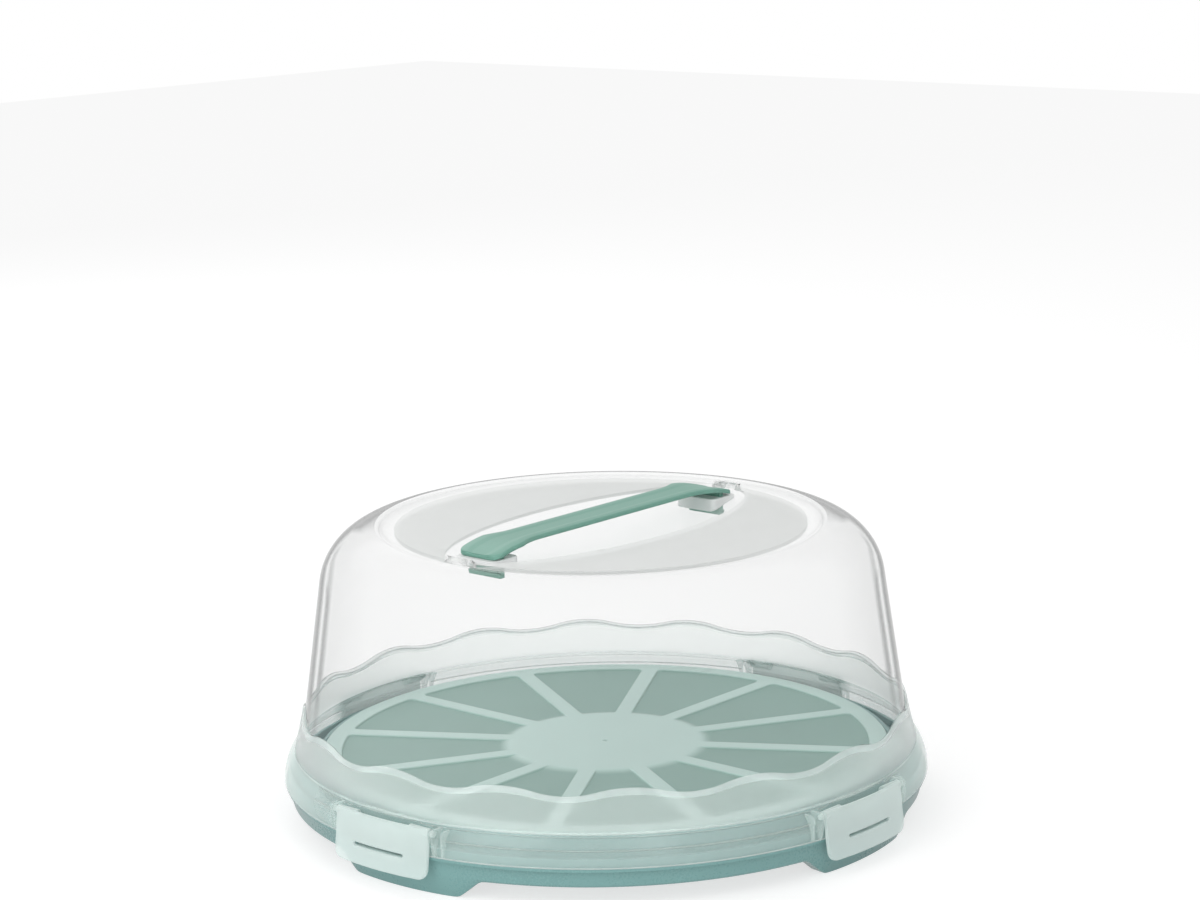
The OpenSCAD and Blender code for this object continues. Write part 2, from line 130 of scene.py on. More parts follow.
class PlateSizes(bpy.types.PropertyGroup):
    """Sizes of the serving plate."""

    portions: whole("Portions", "Panels marked on the plate", 12)
    hub_r: length("Hub radius", "Radius of the plate's plain middle", 0.05)
    spoke_w: length("Spoke width", "Width of the bar between two portions", 0.0085)
    border_w: length("Border width", "Width of the plate's raised border", 0.010)
    panel_depth: length("Panel depth", "Depth of a panel below the bars", 0.001)
    panel_round_r: length("Panel corner", "Corner radius of a panel", 0.004)
    panel_wall: length("Panel wall", "Width of the slope round a panel", 0.0008)
    hub_ramp: length("Hub ramp", "Width of the slope from a panel up to the hub", 0.008)
    edge: length("Edge bevel", "Bevel of the plate's edge", 0.0008)


class LidSizes(bpy.types.PropertyGroup):
    """Sizes of the clear dome lid."""

    wall_t: length("Wall thickness", "Wall thickness of the lid", 0.002)
    skirt_h: length("Skirt height", "From the lip to the crease", 0.0161)
    skirt_round_r: length("Skirt rounding", "Radius of the skirt's rounding", 0.0247)
    band_h: length("Band height", "From the crease to the middle of the wavy edge", 0.0194)
    band_lean: length("Band lean", "How far the band draws in", 0.0049)
    band_curve: number("Band curve", "Bend of the band", 1.25)
    band_step: length("Band step", "How far the band stands out of the wall", 0.0013)
    waves: whole("Waves", "Waves round the band's edge", 16)
    wave_amp: length("Wave height", "Height of a wave above the edge's middle", 0.002)
    wall_draft: angle("Wall draft", "Lean of the dome's wall from upright", 8.3)
    shoulder_r: length("Shoulder radius", "Rounding at the dome's shoulder", 0.033)
    top_sink: length("Top sink", "Depth of the flat top below the shoulder ring", 0.002)
    top_slope_w: length("Top slope", "Width of the slope down to the flat top", 0.0057)
    recess_margin: length("Recess margin", "Gap from the recess's ends to the top's edge", 0.0015)
    recess_half_w: length("Recess half width", "Half width of the hand recess", 0.0465)
    recess_depth: length("Recess depth", "Depth of the hand recess", 0.016)
    columns: whole("Columns", "Sections round the dome", 480)


class HandleSizes(bpy.types.PropertyGroup):
    """Sizes of the strap handle."""

    end_half_w: length("End half width", "Half width of the handle at its ends", 0.0143)
    mid_half_w: length("Middle half width", "Half width of the handle in its middle", 0.0108)
    neck_half_l: length("Neck half length", "Half length of the handle's narrow part", 0.060)
    flare_r: length("Flare radius", "Radius of the curve where the handle widens", 0.038)
    top_gap: length("Top gap", "From the top of the packed handle down to the strap's top", 0.0004)
    thick: length("Thickness", "Thickness of the handle", 0.0025)
    flat_half_l: length("Flat half length", "Half length of the handle's flat part", 0.070)
    drop: length("Drop", "How far the handle's ends bend down", 0.0043)
    round_r: length("End corner", "Corner radius of the handle's ends", 0.005)
    dish: length("Dish", "Depth of the shallow dish along the handle's top", 0.0004)
    edge_r: length("Edge rounding", "Rounding of the handle's long edges", 0.001)
    leg_inset: length("Leg inset", "From the handle's end to the middle of its leg", 0.007)
    leg_t: length("Leg thickness", "Thickness of a leg", 0.003)
    leg_w: length("Leg width", "Width of a leg", 0.022)
    leg_gap: length("Leg gap", "Gap round a leg in its slot", 0.0003)
    barb: length("Barb", "Step of the barb that holds a leg", 0.0012)
    barb_h: length("Barb height", "Height of that barb", 0.0026)
    pad_half_l: length("Pad half length", "Half length of the pad under a handle end", 0.010)
    pad_half_w: length("Pad half width", "Half width of that pad", 0.0135)
    pad_gap: length("Pad gap", "Gap between the pad and the handle", 0.0001)


class ClipSizes(bpy.types.PropertyGroup):
    """Sizes of a hinged clip and of the lugs that hold it."""

    half_w: length("Half width", "Half width of a clip", 0.032)
    thick: length("Thickness", "Thickness of a clip's plate", 0.002)
    tab_lean: length("Tab lean", "How far the finger tab leans out", 0.0016)
    tab_round_r: length("Tab corner", "Corner radius of the finger tab", 0.005)
    lip_gap: length("Lip gap", "Gap between a clip's plate and the lid's lip", 0.0007)
    hook_half_w: length("Hook half width", "Half width of a clip's hook", 0.017)
    hook_r: length("Hook radius", "Radius of the hook's inner edge", 0.1698)
    hook_top: length("Hook drop", "From the lid's lip down to the hook's top", 0.0023)
    hook_h: length("Hook height", "Height of a clip's hook", 0.003)
    slot_h: length("Slot height", "Height of the slot above the hook", 0.0017)
    axis_r: length("Axis radius", "Distance of the hinge axis from the middle", 0.1692)
    axis_h: length("Axis height", "Height of the hinge axis above the lip", 0.0122)
    barrel_r: length("Barrel radius", "Radius of a clip's hinge barrel", 0.0024)
    barrel_l: length("Barrel length", "Length of the barrel at each end of a clip", 0.014)
    pin_r: length("Pin radius", "Radius of a clip's hinge pin", 0.0015)
    pin_l: length("Pin length", "Length of a clip's hinge pin", 0.0028)
    pocket_gap: length("Pocket gap", "Gap round a barrel in its pocket", 0.0005)
    end_gap: length("End gap", "Gap between a clip's end and its lug", 0.001)
    lug_t: length("Lug thickness", "Thickness of a lug", 0.0022)
    lug_proud: length("Lug foot", "How far a lug stands out of the lip at its foot", 0.0004)
    lug_gap: length("Lug gap", "Gap between a lug and its outer rib", 0.0026)
    rib_t: length("Rib thickness", "Thickness of the outer rib", 0.0016)
    rib_back: length("Rib back", "How far the outer rib stays behind its lug", 0.0026)
    rib_top: length("Rib top", "Height of the outer rib above the hinge axis", 0.0016)


class Finishes(bpy.types.PropertyGroup):
    """Colours of the plastics."""

    tray: colour("Tray", "Teal of the tray", (0.19, 0.37, 0.36))
    handle: colour("Handle", "Green of the handle", (0.155, 0.345, 0.275))
    plate: colour("Plate", "Light mint of the plate's bars", (0.52, 0.70, 0.655))
    panel: colour("Panel", "Deeper mint of the plate's panels", (0.25, 0.405, 0.36))
    clear: colour("Clear", "Tint of the clear dome", (0.50, 0.505, 0.505))
    # Painted shade: the grey painted on the dome's edges where they are seen edge on.
    outline: colour("Outline", "Grey of the dome's edges seen edge on", (0.15, 0.155, 0.155))
    recess: colour("Recess", "Tint of the hand recess and the top's ring", (0.96, 0.965, 0.965))
    frost: colour("Frost", "Tint of the frosted top", (0.80, 0.815, 0.805))
    band: colour("Band", "Tint of the wavy band", (0.975, 1.0, 0.99))
    skirt: colour("Skirt", "Milky tint of the skirt and the lugs", (0.78, 0.91, 0.875))
    # Painted highlight: the bright tint of the beads along the lid's lip, crease and wavy edge.
    edge: colour("Edge", "Bright tint of the lid's beads", (0.86, 0.95, 0.93))
    clip: colour("Clip", "Milky tint of the clips", (0.80, 0.91, 0.885))


class StageSettings(bpy.types.PropertyGroup):
    """Camera, lamps and floor."""

    azimuth: angle("Azimuth", "Direction of the camera round the carrier", -49)
    elevation: angle("Elevation", "Height of the camera above the horizon", 14.757)
    roll: angle("Roll", "Roll of the camera", -1.274)
    distance: length("Distance", "From the camera to the aim point", 1.6)
    aim_h: length("Aim height", "Height of the aim point above the table", 0.101)
    aim_u: number("Aim column", "Pixel column of the aim point", 602.9)
    aim_v: number("Aim row", "Pixel row of the aim point", 618.4)
    focal: number("Focal length", "In pixels of the photo", 2989.8)
    world_light: number("World light", "Strength of the even light from all round", 0.62)
    floor_white: number("Floor", "Grey level of the floor under the carrier", 0.93)
    floor_shade: number("Floor shade", "How strongly the carrier's shadow shows on the floor", 0.40)
    floor_glow: number("Floor glow", "White that the floor shows of its own", 0.69)


# ---- Shader maths ----


class Value:
    """A node socket in an expression: each operator adds the Math node that works it out."""

    def __init__(self, paint, socket):
        self.paint, self.socket = paint, socket

    def math(self, operation, *others):
        return self.paint.node("ShaderNodeMath", dict(enumerate((self, *others))), operation=operation)

    def __add__(self, other):
        return self.math("ADD", other)

    def __sub__(self, other):
        return self.math("SUBTRACT", other)

    def __rsub__(self, other):
        return self.paint.node("ShaderNodeMath", {0: other, 1: self}, operation="SUBTRACT")

    def __mul__(self, other):
        return self.math("MULTIPLY", other)

    def __pow__(self, other):
        return self.math("POWER", other)

    __radd__, __rmul__ = __add__, __mul__


class Paint:
    """One material's nodes, ending in a Principled shader."""

    def __init__(self, name, **constants):
        self.material = bpy.data.materials.new(name)
        self.material.use_nodes = True
        self.nodes = self.material.node_tree.nodes
        self.links = self.material.node_tree.links
        self.nodes.clear()
        self.shader = self.nodes.new("ShaderNodeBsdfPrincipled")
        output = self.nodes.new("ShaderNodeOutputMaterial")
        self.links.new(self.shader.outputs["BSDF"], output.inputs["Surface"])
        for key, value in constants.items():
            socket = key.replace("_", " ").title().replace("Ior", "IOR")
            self.shader.inputs[socket].default_value = value

    def node(self, kind, inputs=None, output=0, **settings):
        """Adds a node, sets its settings first and then its inputs, and returns one of its outputs."""
        made = self.nodes.new(kind)
        for key, value in settings.items():
            setattr(made, key, value)
        for key, value in (inputs or {}).items():
            self.feed(made.inputs[key], value)
        return Value(self, made.outputs[output])

    def feed(self, socket, value):
        if isinstance(value, Value):
            self.links.new(value.socket, socket)
        else:
            socket.default_value = value

    def drive(self, **inputs):
        """Feeds sockets of the Principled shader that change over the surface."""
        for key, value in inputs.items():
            self.feed(self.shader.inputs[key.replace("_", " ")], value)
        return self.material

    def ramp(self, value, *stops):
        """Straight lines between (place, height) stops."""
        made = self.nodes.new("ShaderNodeValToRGB")
        elements = made.color_ramp.elements
        while len(elements) < len(stops):
            elements.new(1)
        for element, (place, height) in zip(elements, stops):
            element.position, element.color = place, grey(height)
        self.feed(made.inputs[0], value)
        return Value(self, made.outputs[0])

    def mix(self, share, first, second):
        """A colour between two colours."""
        return self.node(
            "ShaderNodeMix",
            {0: share, 6: opaque(first), 7: opaque(second)},
            output=2,
            data_type="RGBA",
        )

    def noise(self, scale, detail):
        """Fine-grained noise that is fixed to the piece; scale is in grains per metre."""
        place = self.node("ShaderNodeTexCoord", output="Object")
        return self.node("ShaderNodeTexNoise", {"Vector": place, "Scale": scale, "Detail": detail})

    def facing(self):
        """0 where the surface faces the eye and 1 where it is seen edge on."""
        return self.node("ShaderNodeLayerWeight", {"Blend": 0.5}, output="Facing")

    def level(self):
        """How far the surface lies level: 0 on an upright wall and 1 on a flat top."""
        normal = self.node("ShaderNodeTexCoord", output="Normal")
        return self.node("ShaderNodeSeparateXYZ", {0: normal}, output="Z").math("ABSOLUTE")

    def bump(self, height, distance, strength):
        inputs = {"Height": height, "Distance": distance, "Strength": strength}
        return self.node("ShaderNodeBump", inputs)


def opaque(value):
    return value if isinstance(value, Value) else (*value[:3], 1)


def grey(value):
    return (value, value, value, 1)


def scaled(tint, factor):
    """The tint made darker or lighter, and at most white."""
    return [min(1, channel * factor) for channel in tint]


# ---- Materials ----


def moulded(name, tint, rough, grain=900.0):
    """Smooth moulded plastic: faint mottling, a fine satin grain and soft sink marks."""
    paint = Paint(name, ior=1.49)
    mottle = paint.noise(18, 4)
    fine = paint.noise(grain, 3)
    shade = paint.mix(mottle, scaled(tint, 0.95), scaled(tint, 1.05))
    return paint, shade, rough + (mottle - 0.5) * 0.06 + (fine - 0.5) * 0.05, fine


def thin(name, scale, alpha, alpha_swing, rough, rough_swing, **constants):
    """Thin see-through plastic, whose density and roughness drift with one soft cloud."""
    paint = Paint(name, ior=1.49, **constants)
    cloud = paint.noise(scale, 3)
    drift = cloud - 0.5
    return paint, cloud, alpha + drift * alpha_swing, rough + drift * rough_swing


def tray_plastic(finish):
    """Teal of the tray, with painted shade that darkens an upright side where it is seen edge on."""
    paint, shade, rough, fine = moulded("tray_plastic", finish.tray, 0.28)
    # Painted shade: upright sides seen edge on are mixed towards a quarter of the teal, darkening the
    # apron's far sides.
    painted_side_shade = paint.facing() ** 2 * (1 - paint.level()) * 0.9
    deep = paint.mix(painted_side_shade, shade, scaled(finish.tray, 0.25))
    return paint.drive(Base_Color=deep, Roughness=rough, Normal=paint.bump(fine, 0.00003, 0.3))


def handle_plastic(finish):
    paint, shade, rough, fine = moulded("handle_plastic", finish.handle, 0.48)
    return paint.drive(Base_Color=shade, Roughness=rough, Normal=paint.bump(fine, 0.00003, 0.3))


def plate_plastic(finish):
    """The plate: light bars and deeper, satin panels, told apart by the mesh's own panel mask."""
    paint, bars, rough, fine = moulded("plate_plastic", finish.plate, 0.38)
    panel = paint.node("ShaderNodeAttribute", output="Fac", attribute_name="panel")
    mottle = paint.noise(40, 5)
    deep = paint.mix(mottle, scaled(finish.panel, 0.94), scaled(finish.panel, 1.06))
    return paint.drive(
        Base_Color=paint.mix(panel, bars, deep),
        Roughness=rough + panel * 0.12,
        Normal=paint.bump(fine, 0.00005, 0.35),
    )


HAZE = (0, 0), (0.45, 0.1), (0.7, 0.6), (1, 1)  # the clear wall's haze, from facing to edge on


def clear_plastic(finish):
    """Clear wall from outside: a painted dark outline, and a painted second line inside it on the upright
    wall, both painted shade where the wall is seen edge on.
    """
    paint = Paint("clear_plastic", ior=1.49, specular_ior_level=0.15)
    facing, level = paint.facing(), paint.level()
    wider_on_top = paint.ramp(level, (0, 0), (0.9, 0), (0.95, 0.035))
    # Painted shade: these two masks pull the colour towards the outline grey, and make the wall denser,
    # where it is seen edge on.
    outline_shade = paint.ramp(facing + wider_on_top, (0, 0), (0.8, 0), (0.845, 1))
    line = paint.ramp(facing, (0, 0), (0.70, 0), (0.735, 1), (0.755, 1), (0.78, 0))
    line = line * paint.ramp(level, (0, 1), (0.25, 1), (0.4, 0))
    haze = paint.ramp(facing, *HAZE)
    wave = paint.noise(9, 1)
    return paint.drive(
        Base_Color=paint.mix(outline_shade + line * 0.9, finish.clear, finish.outline),
        Alpha=0.055 + outline_shade * 0.65 + line * 0.3 + haze * 0.14,
        Roughness=0.06 + wave * 0.04,
        Normal=paint.bump(wave, 0.001, 0.15),
    )


def inner_plastic(finish):
    """The clear wall's inside: a faint grey haze that thickens towards the outline."""
    paint = Paint("inner_plastic", ior=1.49, specular_ior_level=0.15)
    haze = paint.ramp(paint.facing(), *HAZE)
    wave = paint.noise(12, 1)
    return paint.drive(
        Base_Color=opaque(finish.clear), Alpha=0.04 + haze * 0.08, Roughness=0.08 + wave * 0.04
    )


def highlight_plastic(finish):
    """Painted highlight: a bright bead along the lip, the crease and the wavy edge."""
    paint, _, alpha, rough = thin("highlight_plastic", 70, 0.42, 0.2, 0.2, 0.06)
    return paint.drive(Base_Color=opaque(finish.edge), Alpha=alpha, Roughness=rough)


def recess_plastic(finish):
    """Clear recess and ring of the top: polished, with a faint white body."""
    paint, _, alpha, rough = thin("recess_plastic", 30, 0.12, 0.04, 0.105, 0.05)
    alpha = alpha + paint.facing() ** 6 * 0.25
    return paint.drive(Base_Color=opaque(finish.recess), Alpha=alpha, Roughness=rough)


def pad_plastic(finish):
    """The handle's pads: thicker, so whiter than the recess round them."""
    paint, _, alpha, rough = thin("pad_plastic", 40, 0.74, 0.05, 0.225, 0.05, specular_ior_level=0.3)
    return paint.drive(Base_Color=opaque(finish.recess), Alpha=alpha, Roughness=rough)


def frosted_plastic(finish):
    """Frosted flat top: etched texture that scatters what is under it."""
    paint = Paint("frosted_plastic", ior=1.49)
    grain = paint.noise(2600, 4)
    cloud = paint.noise(25, 3)
    return paint.drive(
        Base_Color=paint.mix(cloud, scaled(finish.frost, 0.985), scaled(finish.frost, 1.015)),
        Alpha=0.72 + (cloud - 0.5) * 0.04,
        Roughness=0.62 + (grain - 0.5) * 0.2,
        Normal=paint.bump(grain, 0.00008, 0.5),
    )


def band_plastic(finish):
    """Frosted band under the wavy edge: blurs what is behind it."""
    paint = Paint("band_plastic", ior=1.25, transmission_weight=0.82)
    grain = paint.noise(1800, 3)
    cloud = paint.noise(35, 3)
    return paint.drive(
        Base_Color=paint.mix(cloud, scaled(finish.band, 0.98), finish.band),
        Alpha=0.8 + (cloud - 0.5) * 0.05,
        Roughness=0.36 + (grain - 0.5) * 0.1,
        Normal=paint.bump(grain, 0.00006, 0.4),
    )


def skirt_plastic(finish):
    """The skirt and lugs: thin milky plastic, denser where it is seen edge on."""
    paint, cloud, alpha, rough = thin("skirt_plastic", 50, 0.22, 0.04, 0.16, 0.06)
    shade = paint.mix(cloud, scaled(finish.skirt, 0.98), finish.skirt)
    alpha = alpha + paint.facing() ** 3 * 0.6
    return paint.drive(Base_Color=shade, Alpha=alpha, Roughness=rough)


def clip_plastic(finish):
    """Milky, flexible plastic of the clips."""
    paint, shade, rough, fine = moulded("clip_plastic", finish.clip, 0.32, 1400)
    milk = paint.noise(60, 3)
    return paint.drive(
        Base_Color=shade,
        Alpha=0.48 + paint.facing() ** 2 * 0.4 + (milk - 0.5) * 0.05,
        Roughness=rough,
        Normal=paint.bump(fine, 0.00004, 0.3),
    )


# ---- Mesh building ----


class Sheet:
    """Rows of points that are joined into quads and become one piece."""

    def __init__(self):
        self.points, self.faces, self.slots = [], [], []

    def row(self, points):
        first = len(self.points)
        self.points.extend(points)
        return list(range(first, len(self.points)))

    def join(self, first, second, slot=0, closed=False):
        """Quads between two rows; slot is a material slot, or one for each quad."""
        count = len(first) if closed else len(first) - 1
        for i in range(count):
            j = (i + 1) % len(first)
            self.faces.append((first[i], first[j], second[j], second[i]))
            self.slots.append(slot[i] if isinstance(slot, (list, tuple)) else slot)

    def fill(self, row):
        self.faces.append(tuple(row))
        self.slots.append(0)

    def chain(self, rows):
        """Joins closed rows one after the other."""
        for first, second in zip(rows, rows[1:]):
            self.join(first, second, closed=True)

    def stack(self, rows):
        """Closed rings of points that are joined one after the other, with a face over each end."""
        made = [self.row(points) for points in rows]
        self.chain(made)
        self.fill(made[0])
        self.fill(made[-1])

    def wrap(self, rows, slot=0):
        """Joins open rows one after the other, and the last one to the first."""
        for first, second in zip(rows, rows[1:] + rows[:1]):
            self.join(first, second, slot)

    def piece(self, name, materials, sharp=35, **values):
        """The finished object; values are point attributes, one number for each point."""
        mesh = bpy.data.meshes.new(name)
        mesh.from_pydata(self.points, [], self.faces)
        mesh.polygons.foreach_set("material_index", self.slots)
        for key, numbers in values.items():
            mesh.attributes.new(key, "FLOAT", "POINT").data.foreach_set("value", numbers)
        for material in materials:
            mesh.materials.append(material)
        welded = bmesh.new()
        welded.from_mesh(mesh)
        bmesh.ops.remove_doubles(welded, verts=welded.verts, dist=1e-6)
        bmesh.ops.recalc_face_normals(welded, faces=welded.faces)
        highest = max(welded.faces, key=lambda face: face.calc_center_median().z)
        if highest.normal.z < 0:
            bmesh.ops.reverse_faces(welded, faces=welded.faces)
        welded.to_mesh(mesh)
        welded.free()
        mesh.shade_smooth()
        mesh.set_sharp_from_angle(angle=radians(sharp))
        made = bpy.data.objects.new(name, mesh)
        bpy.context.scene.collection.objects.link(made)
        return made


def rounded(corners, closed=False, steps=3):
    """Points of an outline given as (x, y, radius) corners; every radius above 0 becomes an arc."""
    points = []
    for i, (x, y, radius) in enumerate(corners):
        here = Vector((x, y))
        if radius == 0 or (not closed and i in (0, len(corners) - 1)):
            points.append(here)
            continue
        before = Vector(corners[i - 1][:2]) - here
        after = Vector(corners[(i + 1) % len(corners)][:2]) - here
        middle = before.normalized() + after.normalized()
        if middle.length < 1e-4:
            points.extend([here] * (steps + 1))
            continue
        half = before.angle(after) / 2
        run = min(radius / tan(half), 0.49 * before.length, 0.49 * after.length)
        centre = here + middle.normalized() * (run / cos(half))
        start = here + before.normalized() * run - centre
        end = here + after.normalized() * run - centre
        first = atan2(start.y, start.x)
        sweep = (atan2(end.y, end.x) - first + pi) % (2 * pi) - pi
        for k in range(steps + 1):
            turn = first + sweep * k / steps
            points.append(centre + start.length * Vector((cos(turn), sin(turn))))
    return points


def inset(outline, distance):
    """A closed outline drawn in by a small distance; the outline runs anticlockwise."""
    drawn = []
    for i, point in enumerate(outline):
        along = outline[(i + 1) % len(outline)] - outline[i - 1]
        drawn.append(point + Vector((-along.y, along.x)).normalized() * distance)
    return drawn


def polar(radius, turn, z):
    return Vector((radius * cos(turn), radius * sin(turn), z))


def at_radius(radius, y, z):
    """The point of a cylinder of that radius round Z, at y to one side of the clip at +X."""
    return Vector((sqrt(radius * radius - y * y), y, z))


def soft_ramp(t, softness=0.12):
    """0 below 0 and 1 above 1, with rounded corners."""
    return (sqrt(t * t + softness**2) - sqrt((t - 1) ** 2 + softness**2) + 1) / 2


def smooth(t):
    t = max(0.0, min(1.0, t))
    return t * t * (3 - 2 * t)


def turned(points, turn):
    """Points turned round Z."""
    spin = Matrix.Rotation(turn, 3, "Z")
    return [spin @ point for point in points]


BAR_EDGE = 0.0003  # softened edge of a slab or a rod
ROD_SIDES = 32


def slab(sheet, outline, low, high, turn):
    """A plate with softened edges: an outline in X and Z that is pushed along Y, then turned round Z."""
    small = inset(outline, BAR_EDGE)
    for_y = ((small, low), (outline, low + BAR_EDGE), (outline, high - BAR_EDGE), (small, high))
    sheet.stack([turned([Vector((p.x, y, p.y)) for p in line], turn) for line, y in for_y])


def rod(sheet, centre, radius, low, high):
    """A round bar along Y with softened ends."""
    small = radius - BAR_EDGE
    turns = [2 * pi * k / ROD_SIDES for k in range(ROD_SIDES)]
    for_y = ((small, low), (radius, low + BAR_EDGE), (radius, high - BAR_EDGE), (small, high))
    sheet.stack(
        [[Vector((centre[0] + r * cos(a), y, centre[1] + r * sin(a))) for a in turns] for r, y in for_y]
    )


# ---- Tray ----


def apron_radii(size):
    """Radii of the apron under the flange and of a foot's face."""
    apron_r = TRAY_HIGH.x - size.flange_out
    return apron_r, apron_r - size.apron_lean - size.apron_bevel


def tray_section(size, foot, inner_r):
    """Half section of the tray: foot is the height of its lowest edge, inner_r the foot's back."""
    flange_z = LID_LOW.z - SEAT_GAP
    flange_r = TRAY_HIGH.x
    apron_r, foot_r = apron_radii(size)
    rim_in = PLATE_HIGH.x + size.rim_gap
    rim_out = rim_in + size.wall_t
    ledge_z = TRAY_HIGH.z - size.rim_lip_h
    floor_z = size.foot_h + size.wall_t
    ring_in = size.centring_r - size.wall_t
    drawn = size.foot_draft * (1 - foot / size.foot_h)
    soft, hard = 0.0004, 0.0002
    return rounded(
        [
            (0, floor_z, 0),
            (rim_in, floor_z, 0.001),
            (rim_in, ledge_z - size.wall_t, hard),
            (rim_in - size.ledge_w, ledge_z - size.wall_t, hard),
            (rim_in - size.ledge_w, ledge_z, soft),
            (rim_in, ledge_z, hard),
            (rim_in, TRAY_HIGH.z, soft),
            (rim_out, TRAY_HIGH.z, soft),
            (rim_out, flange_z, hard),
            (ring_in, flange_z, hard),
            (ring_in, flange_z + size.centring_h, soft),
            (size.centring_r, flange_z + size.centring_h, soft),
            (size.centring_r, flange_z, hard),
            (flange_r, flange_z, soft),
            (flange_r, flange_z - size.flange_t, soft),
            (apron_r, flange_z - size.flange_t, hard),
            (apron_r - size.apron_lean, size.foot_h + size.apron_bevel, 0.0015),
            (foot_r - drawn, foot, 0.0008),
            (inner_r, foot, 0.0006),
            (inner_r, flange_z - size.flange_t, hard),
            (rim_out, flange_z - size.flange_t, hard),
            (rim_out, size.foot_h, soft),
            (0, size.foot_h, 0),
        ],
        steps=2,
    )


BACK_RAMP = 0.002  # run over which a foot's back goes over into the apron's wall


def tray_sheet(size):
    """The tray, section by section, with its lowest edge dropping to the table at each foot."""
    _, foot_r = apron_radii(size)
    sheet, rows = Sheet(), []
    for i in range(size.columns):
        turn = 2 * pi * i / size.columns
        off = (turn - size.foot_turn + QUARTER / 2) % QUARTER - QUARTER / 2
        past = abs(foot_r * sin(off)) - size.foot_half_w
        foot = size.foot_h * soft_ramp(past / size.foot_slope)
        back = smooth((past - size.foot_slope) / BACK_RAMP)
        inner_r = foot_r - size.foot_depth + back * (size.foot_depth - size.wall_t)
        section = tray_section(size, max(foot, 0), inner_r)
        rows.append(sheet.row([polar(point.x, turn, point.y) for point in section]))
    sheet.wrap(rows)
    return sheet


# ---- Plate ----


# Distances inside a panel's edge at which the plate has points, and one just outside it.
PANEL_STEPS = (0, 0.0002, 0.0004, 0.0006, 0.0008, 0.0012, 0.0016, 0.002, 0.0025, 0.003, 0.0035, 0.004)
PANEL_OUTSIDE = 0.0004
MIDDLE_SHARES = (0.35, 0.7, 1.0)  # columns between a panel's last step and its middle line
NUB_R, NUB_EDGE, NUB_SINK = 0.0012, 0.0004, 0.0003  # the sunk mark in the middle of the hub


def plate_rings(size, radius):
    """Radii of the plate's rings, close together where a panel ends."""
    outer = radius - size.border_w
    inner = [size.hub_r + size.hub_ramp * k / 8 for k in range(9)]
    middle = [inner[-1] + (outer - PANEL_STEPS[-1] - inner[-1]) * k / 10 for k in range(1, 10)]
    hub = [0.0006, 0.0012, 0.0016, 0.0022, 0.01, 0.025, 0.04, size.hub_r - 0.002]
    end = [outer - step for step in reversed(PANEL_STEPS)]
    return hub + inner + middle + end + [outer + PANEL_OUTSIDE]


def side_angle(size, r, inside):
    """Angle at radius r from a spoke's middle line to the line that far inside the panel beside it."""
    reach = size.spoke_w / 2 + inside
    return atan2(reach, sqrt(max(r * r - reach * reach, 1e-9)))


def panel_share(size, side, outer, inner):
    """How deep a point lies in its panel, from its distances inside the panel's side and two ends."""
    corner = size.panel_round_r
    depth = min(side, outer)
    if side < corner and outer < corner:
        depth = corner - hypot(corner - side, corner - outer)
    return smooth(depth / size.panel_wall) * smooth(inner / size.hub_ramp)


def plate_sheet(size):
    """The plate's points by column, and the panel mask of each point."""
    radius, top, bottom = PLATE_HIGH.x, PLATE_HIGH.z, PLATE_LOW.z
    half = pi / size.portions
    rings = plate_rings(size, radius)
    near = [-size.spoke_w / 2, -PANEL_OUTSIDE, *PANEL_STEPS]
    edge = rounded(
        [
            (rings[-1], top, 0),
            (radius - size.edge, top, 0.0004),
            (radius, top - size.edge, 0.0004),
            (radius, bottom + size.edge, 0.0004),
            (radius - size.edge, bottom, 0.0004),
            (0, bottom, 0),
        ],
        steps=2,
    )[1:]
    sheet, masks, rows = Sheet(), [], []
    last = len(near) - 1

    def column(middle, side, k):
        """Adds the points from the hub out to the edge and back underneath, k columns from a spoke."""
        points = []
        for r in rings:
            off = half - side_angle(size, max(r, size.hub_r - 0.004), near[min(k, last)])
            if k > last:
                off *= 1 - MIDDLE_SHARES[k - len(near)]
            off = max(off, 0)
            inside = r * sin(max(half - off, 0)) - size.spoke_w / 2
            share = 0.0
            if r > size.hub_r:
                share = panel_share(size, inside, radius - size.border_w - r, r - size.hub_r)
            nub = NUB_SINK * (1 - smooth((r - NUB_R) / NUB_EDGE))
            points.append(polar(r, middle + side * off, top - size.panel_depth * share - nub))
            masks.append(share)
        for point in edge:
            points.append(polar(point.x, middle + side * off, point.y))
            masks.append(0.0)
        rows.append(sheet.row(points))

    total = len(near) + len(MIDDLE_SHARES)
    for portion in range(size.portions):
        middle = (2 * portion + 1) * half
        for k in range(total):
            column(middle, -1, k)
        for k in range(total - 2, 0, -1):
            column(middle, 1, k)
    sheet.wrap(rows)
    return sheet, masks


# ---- Lid ----


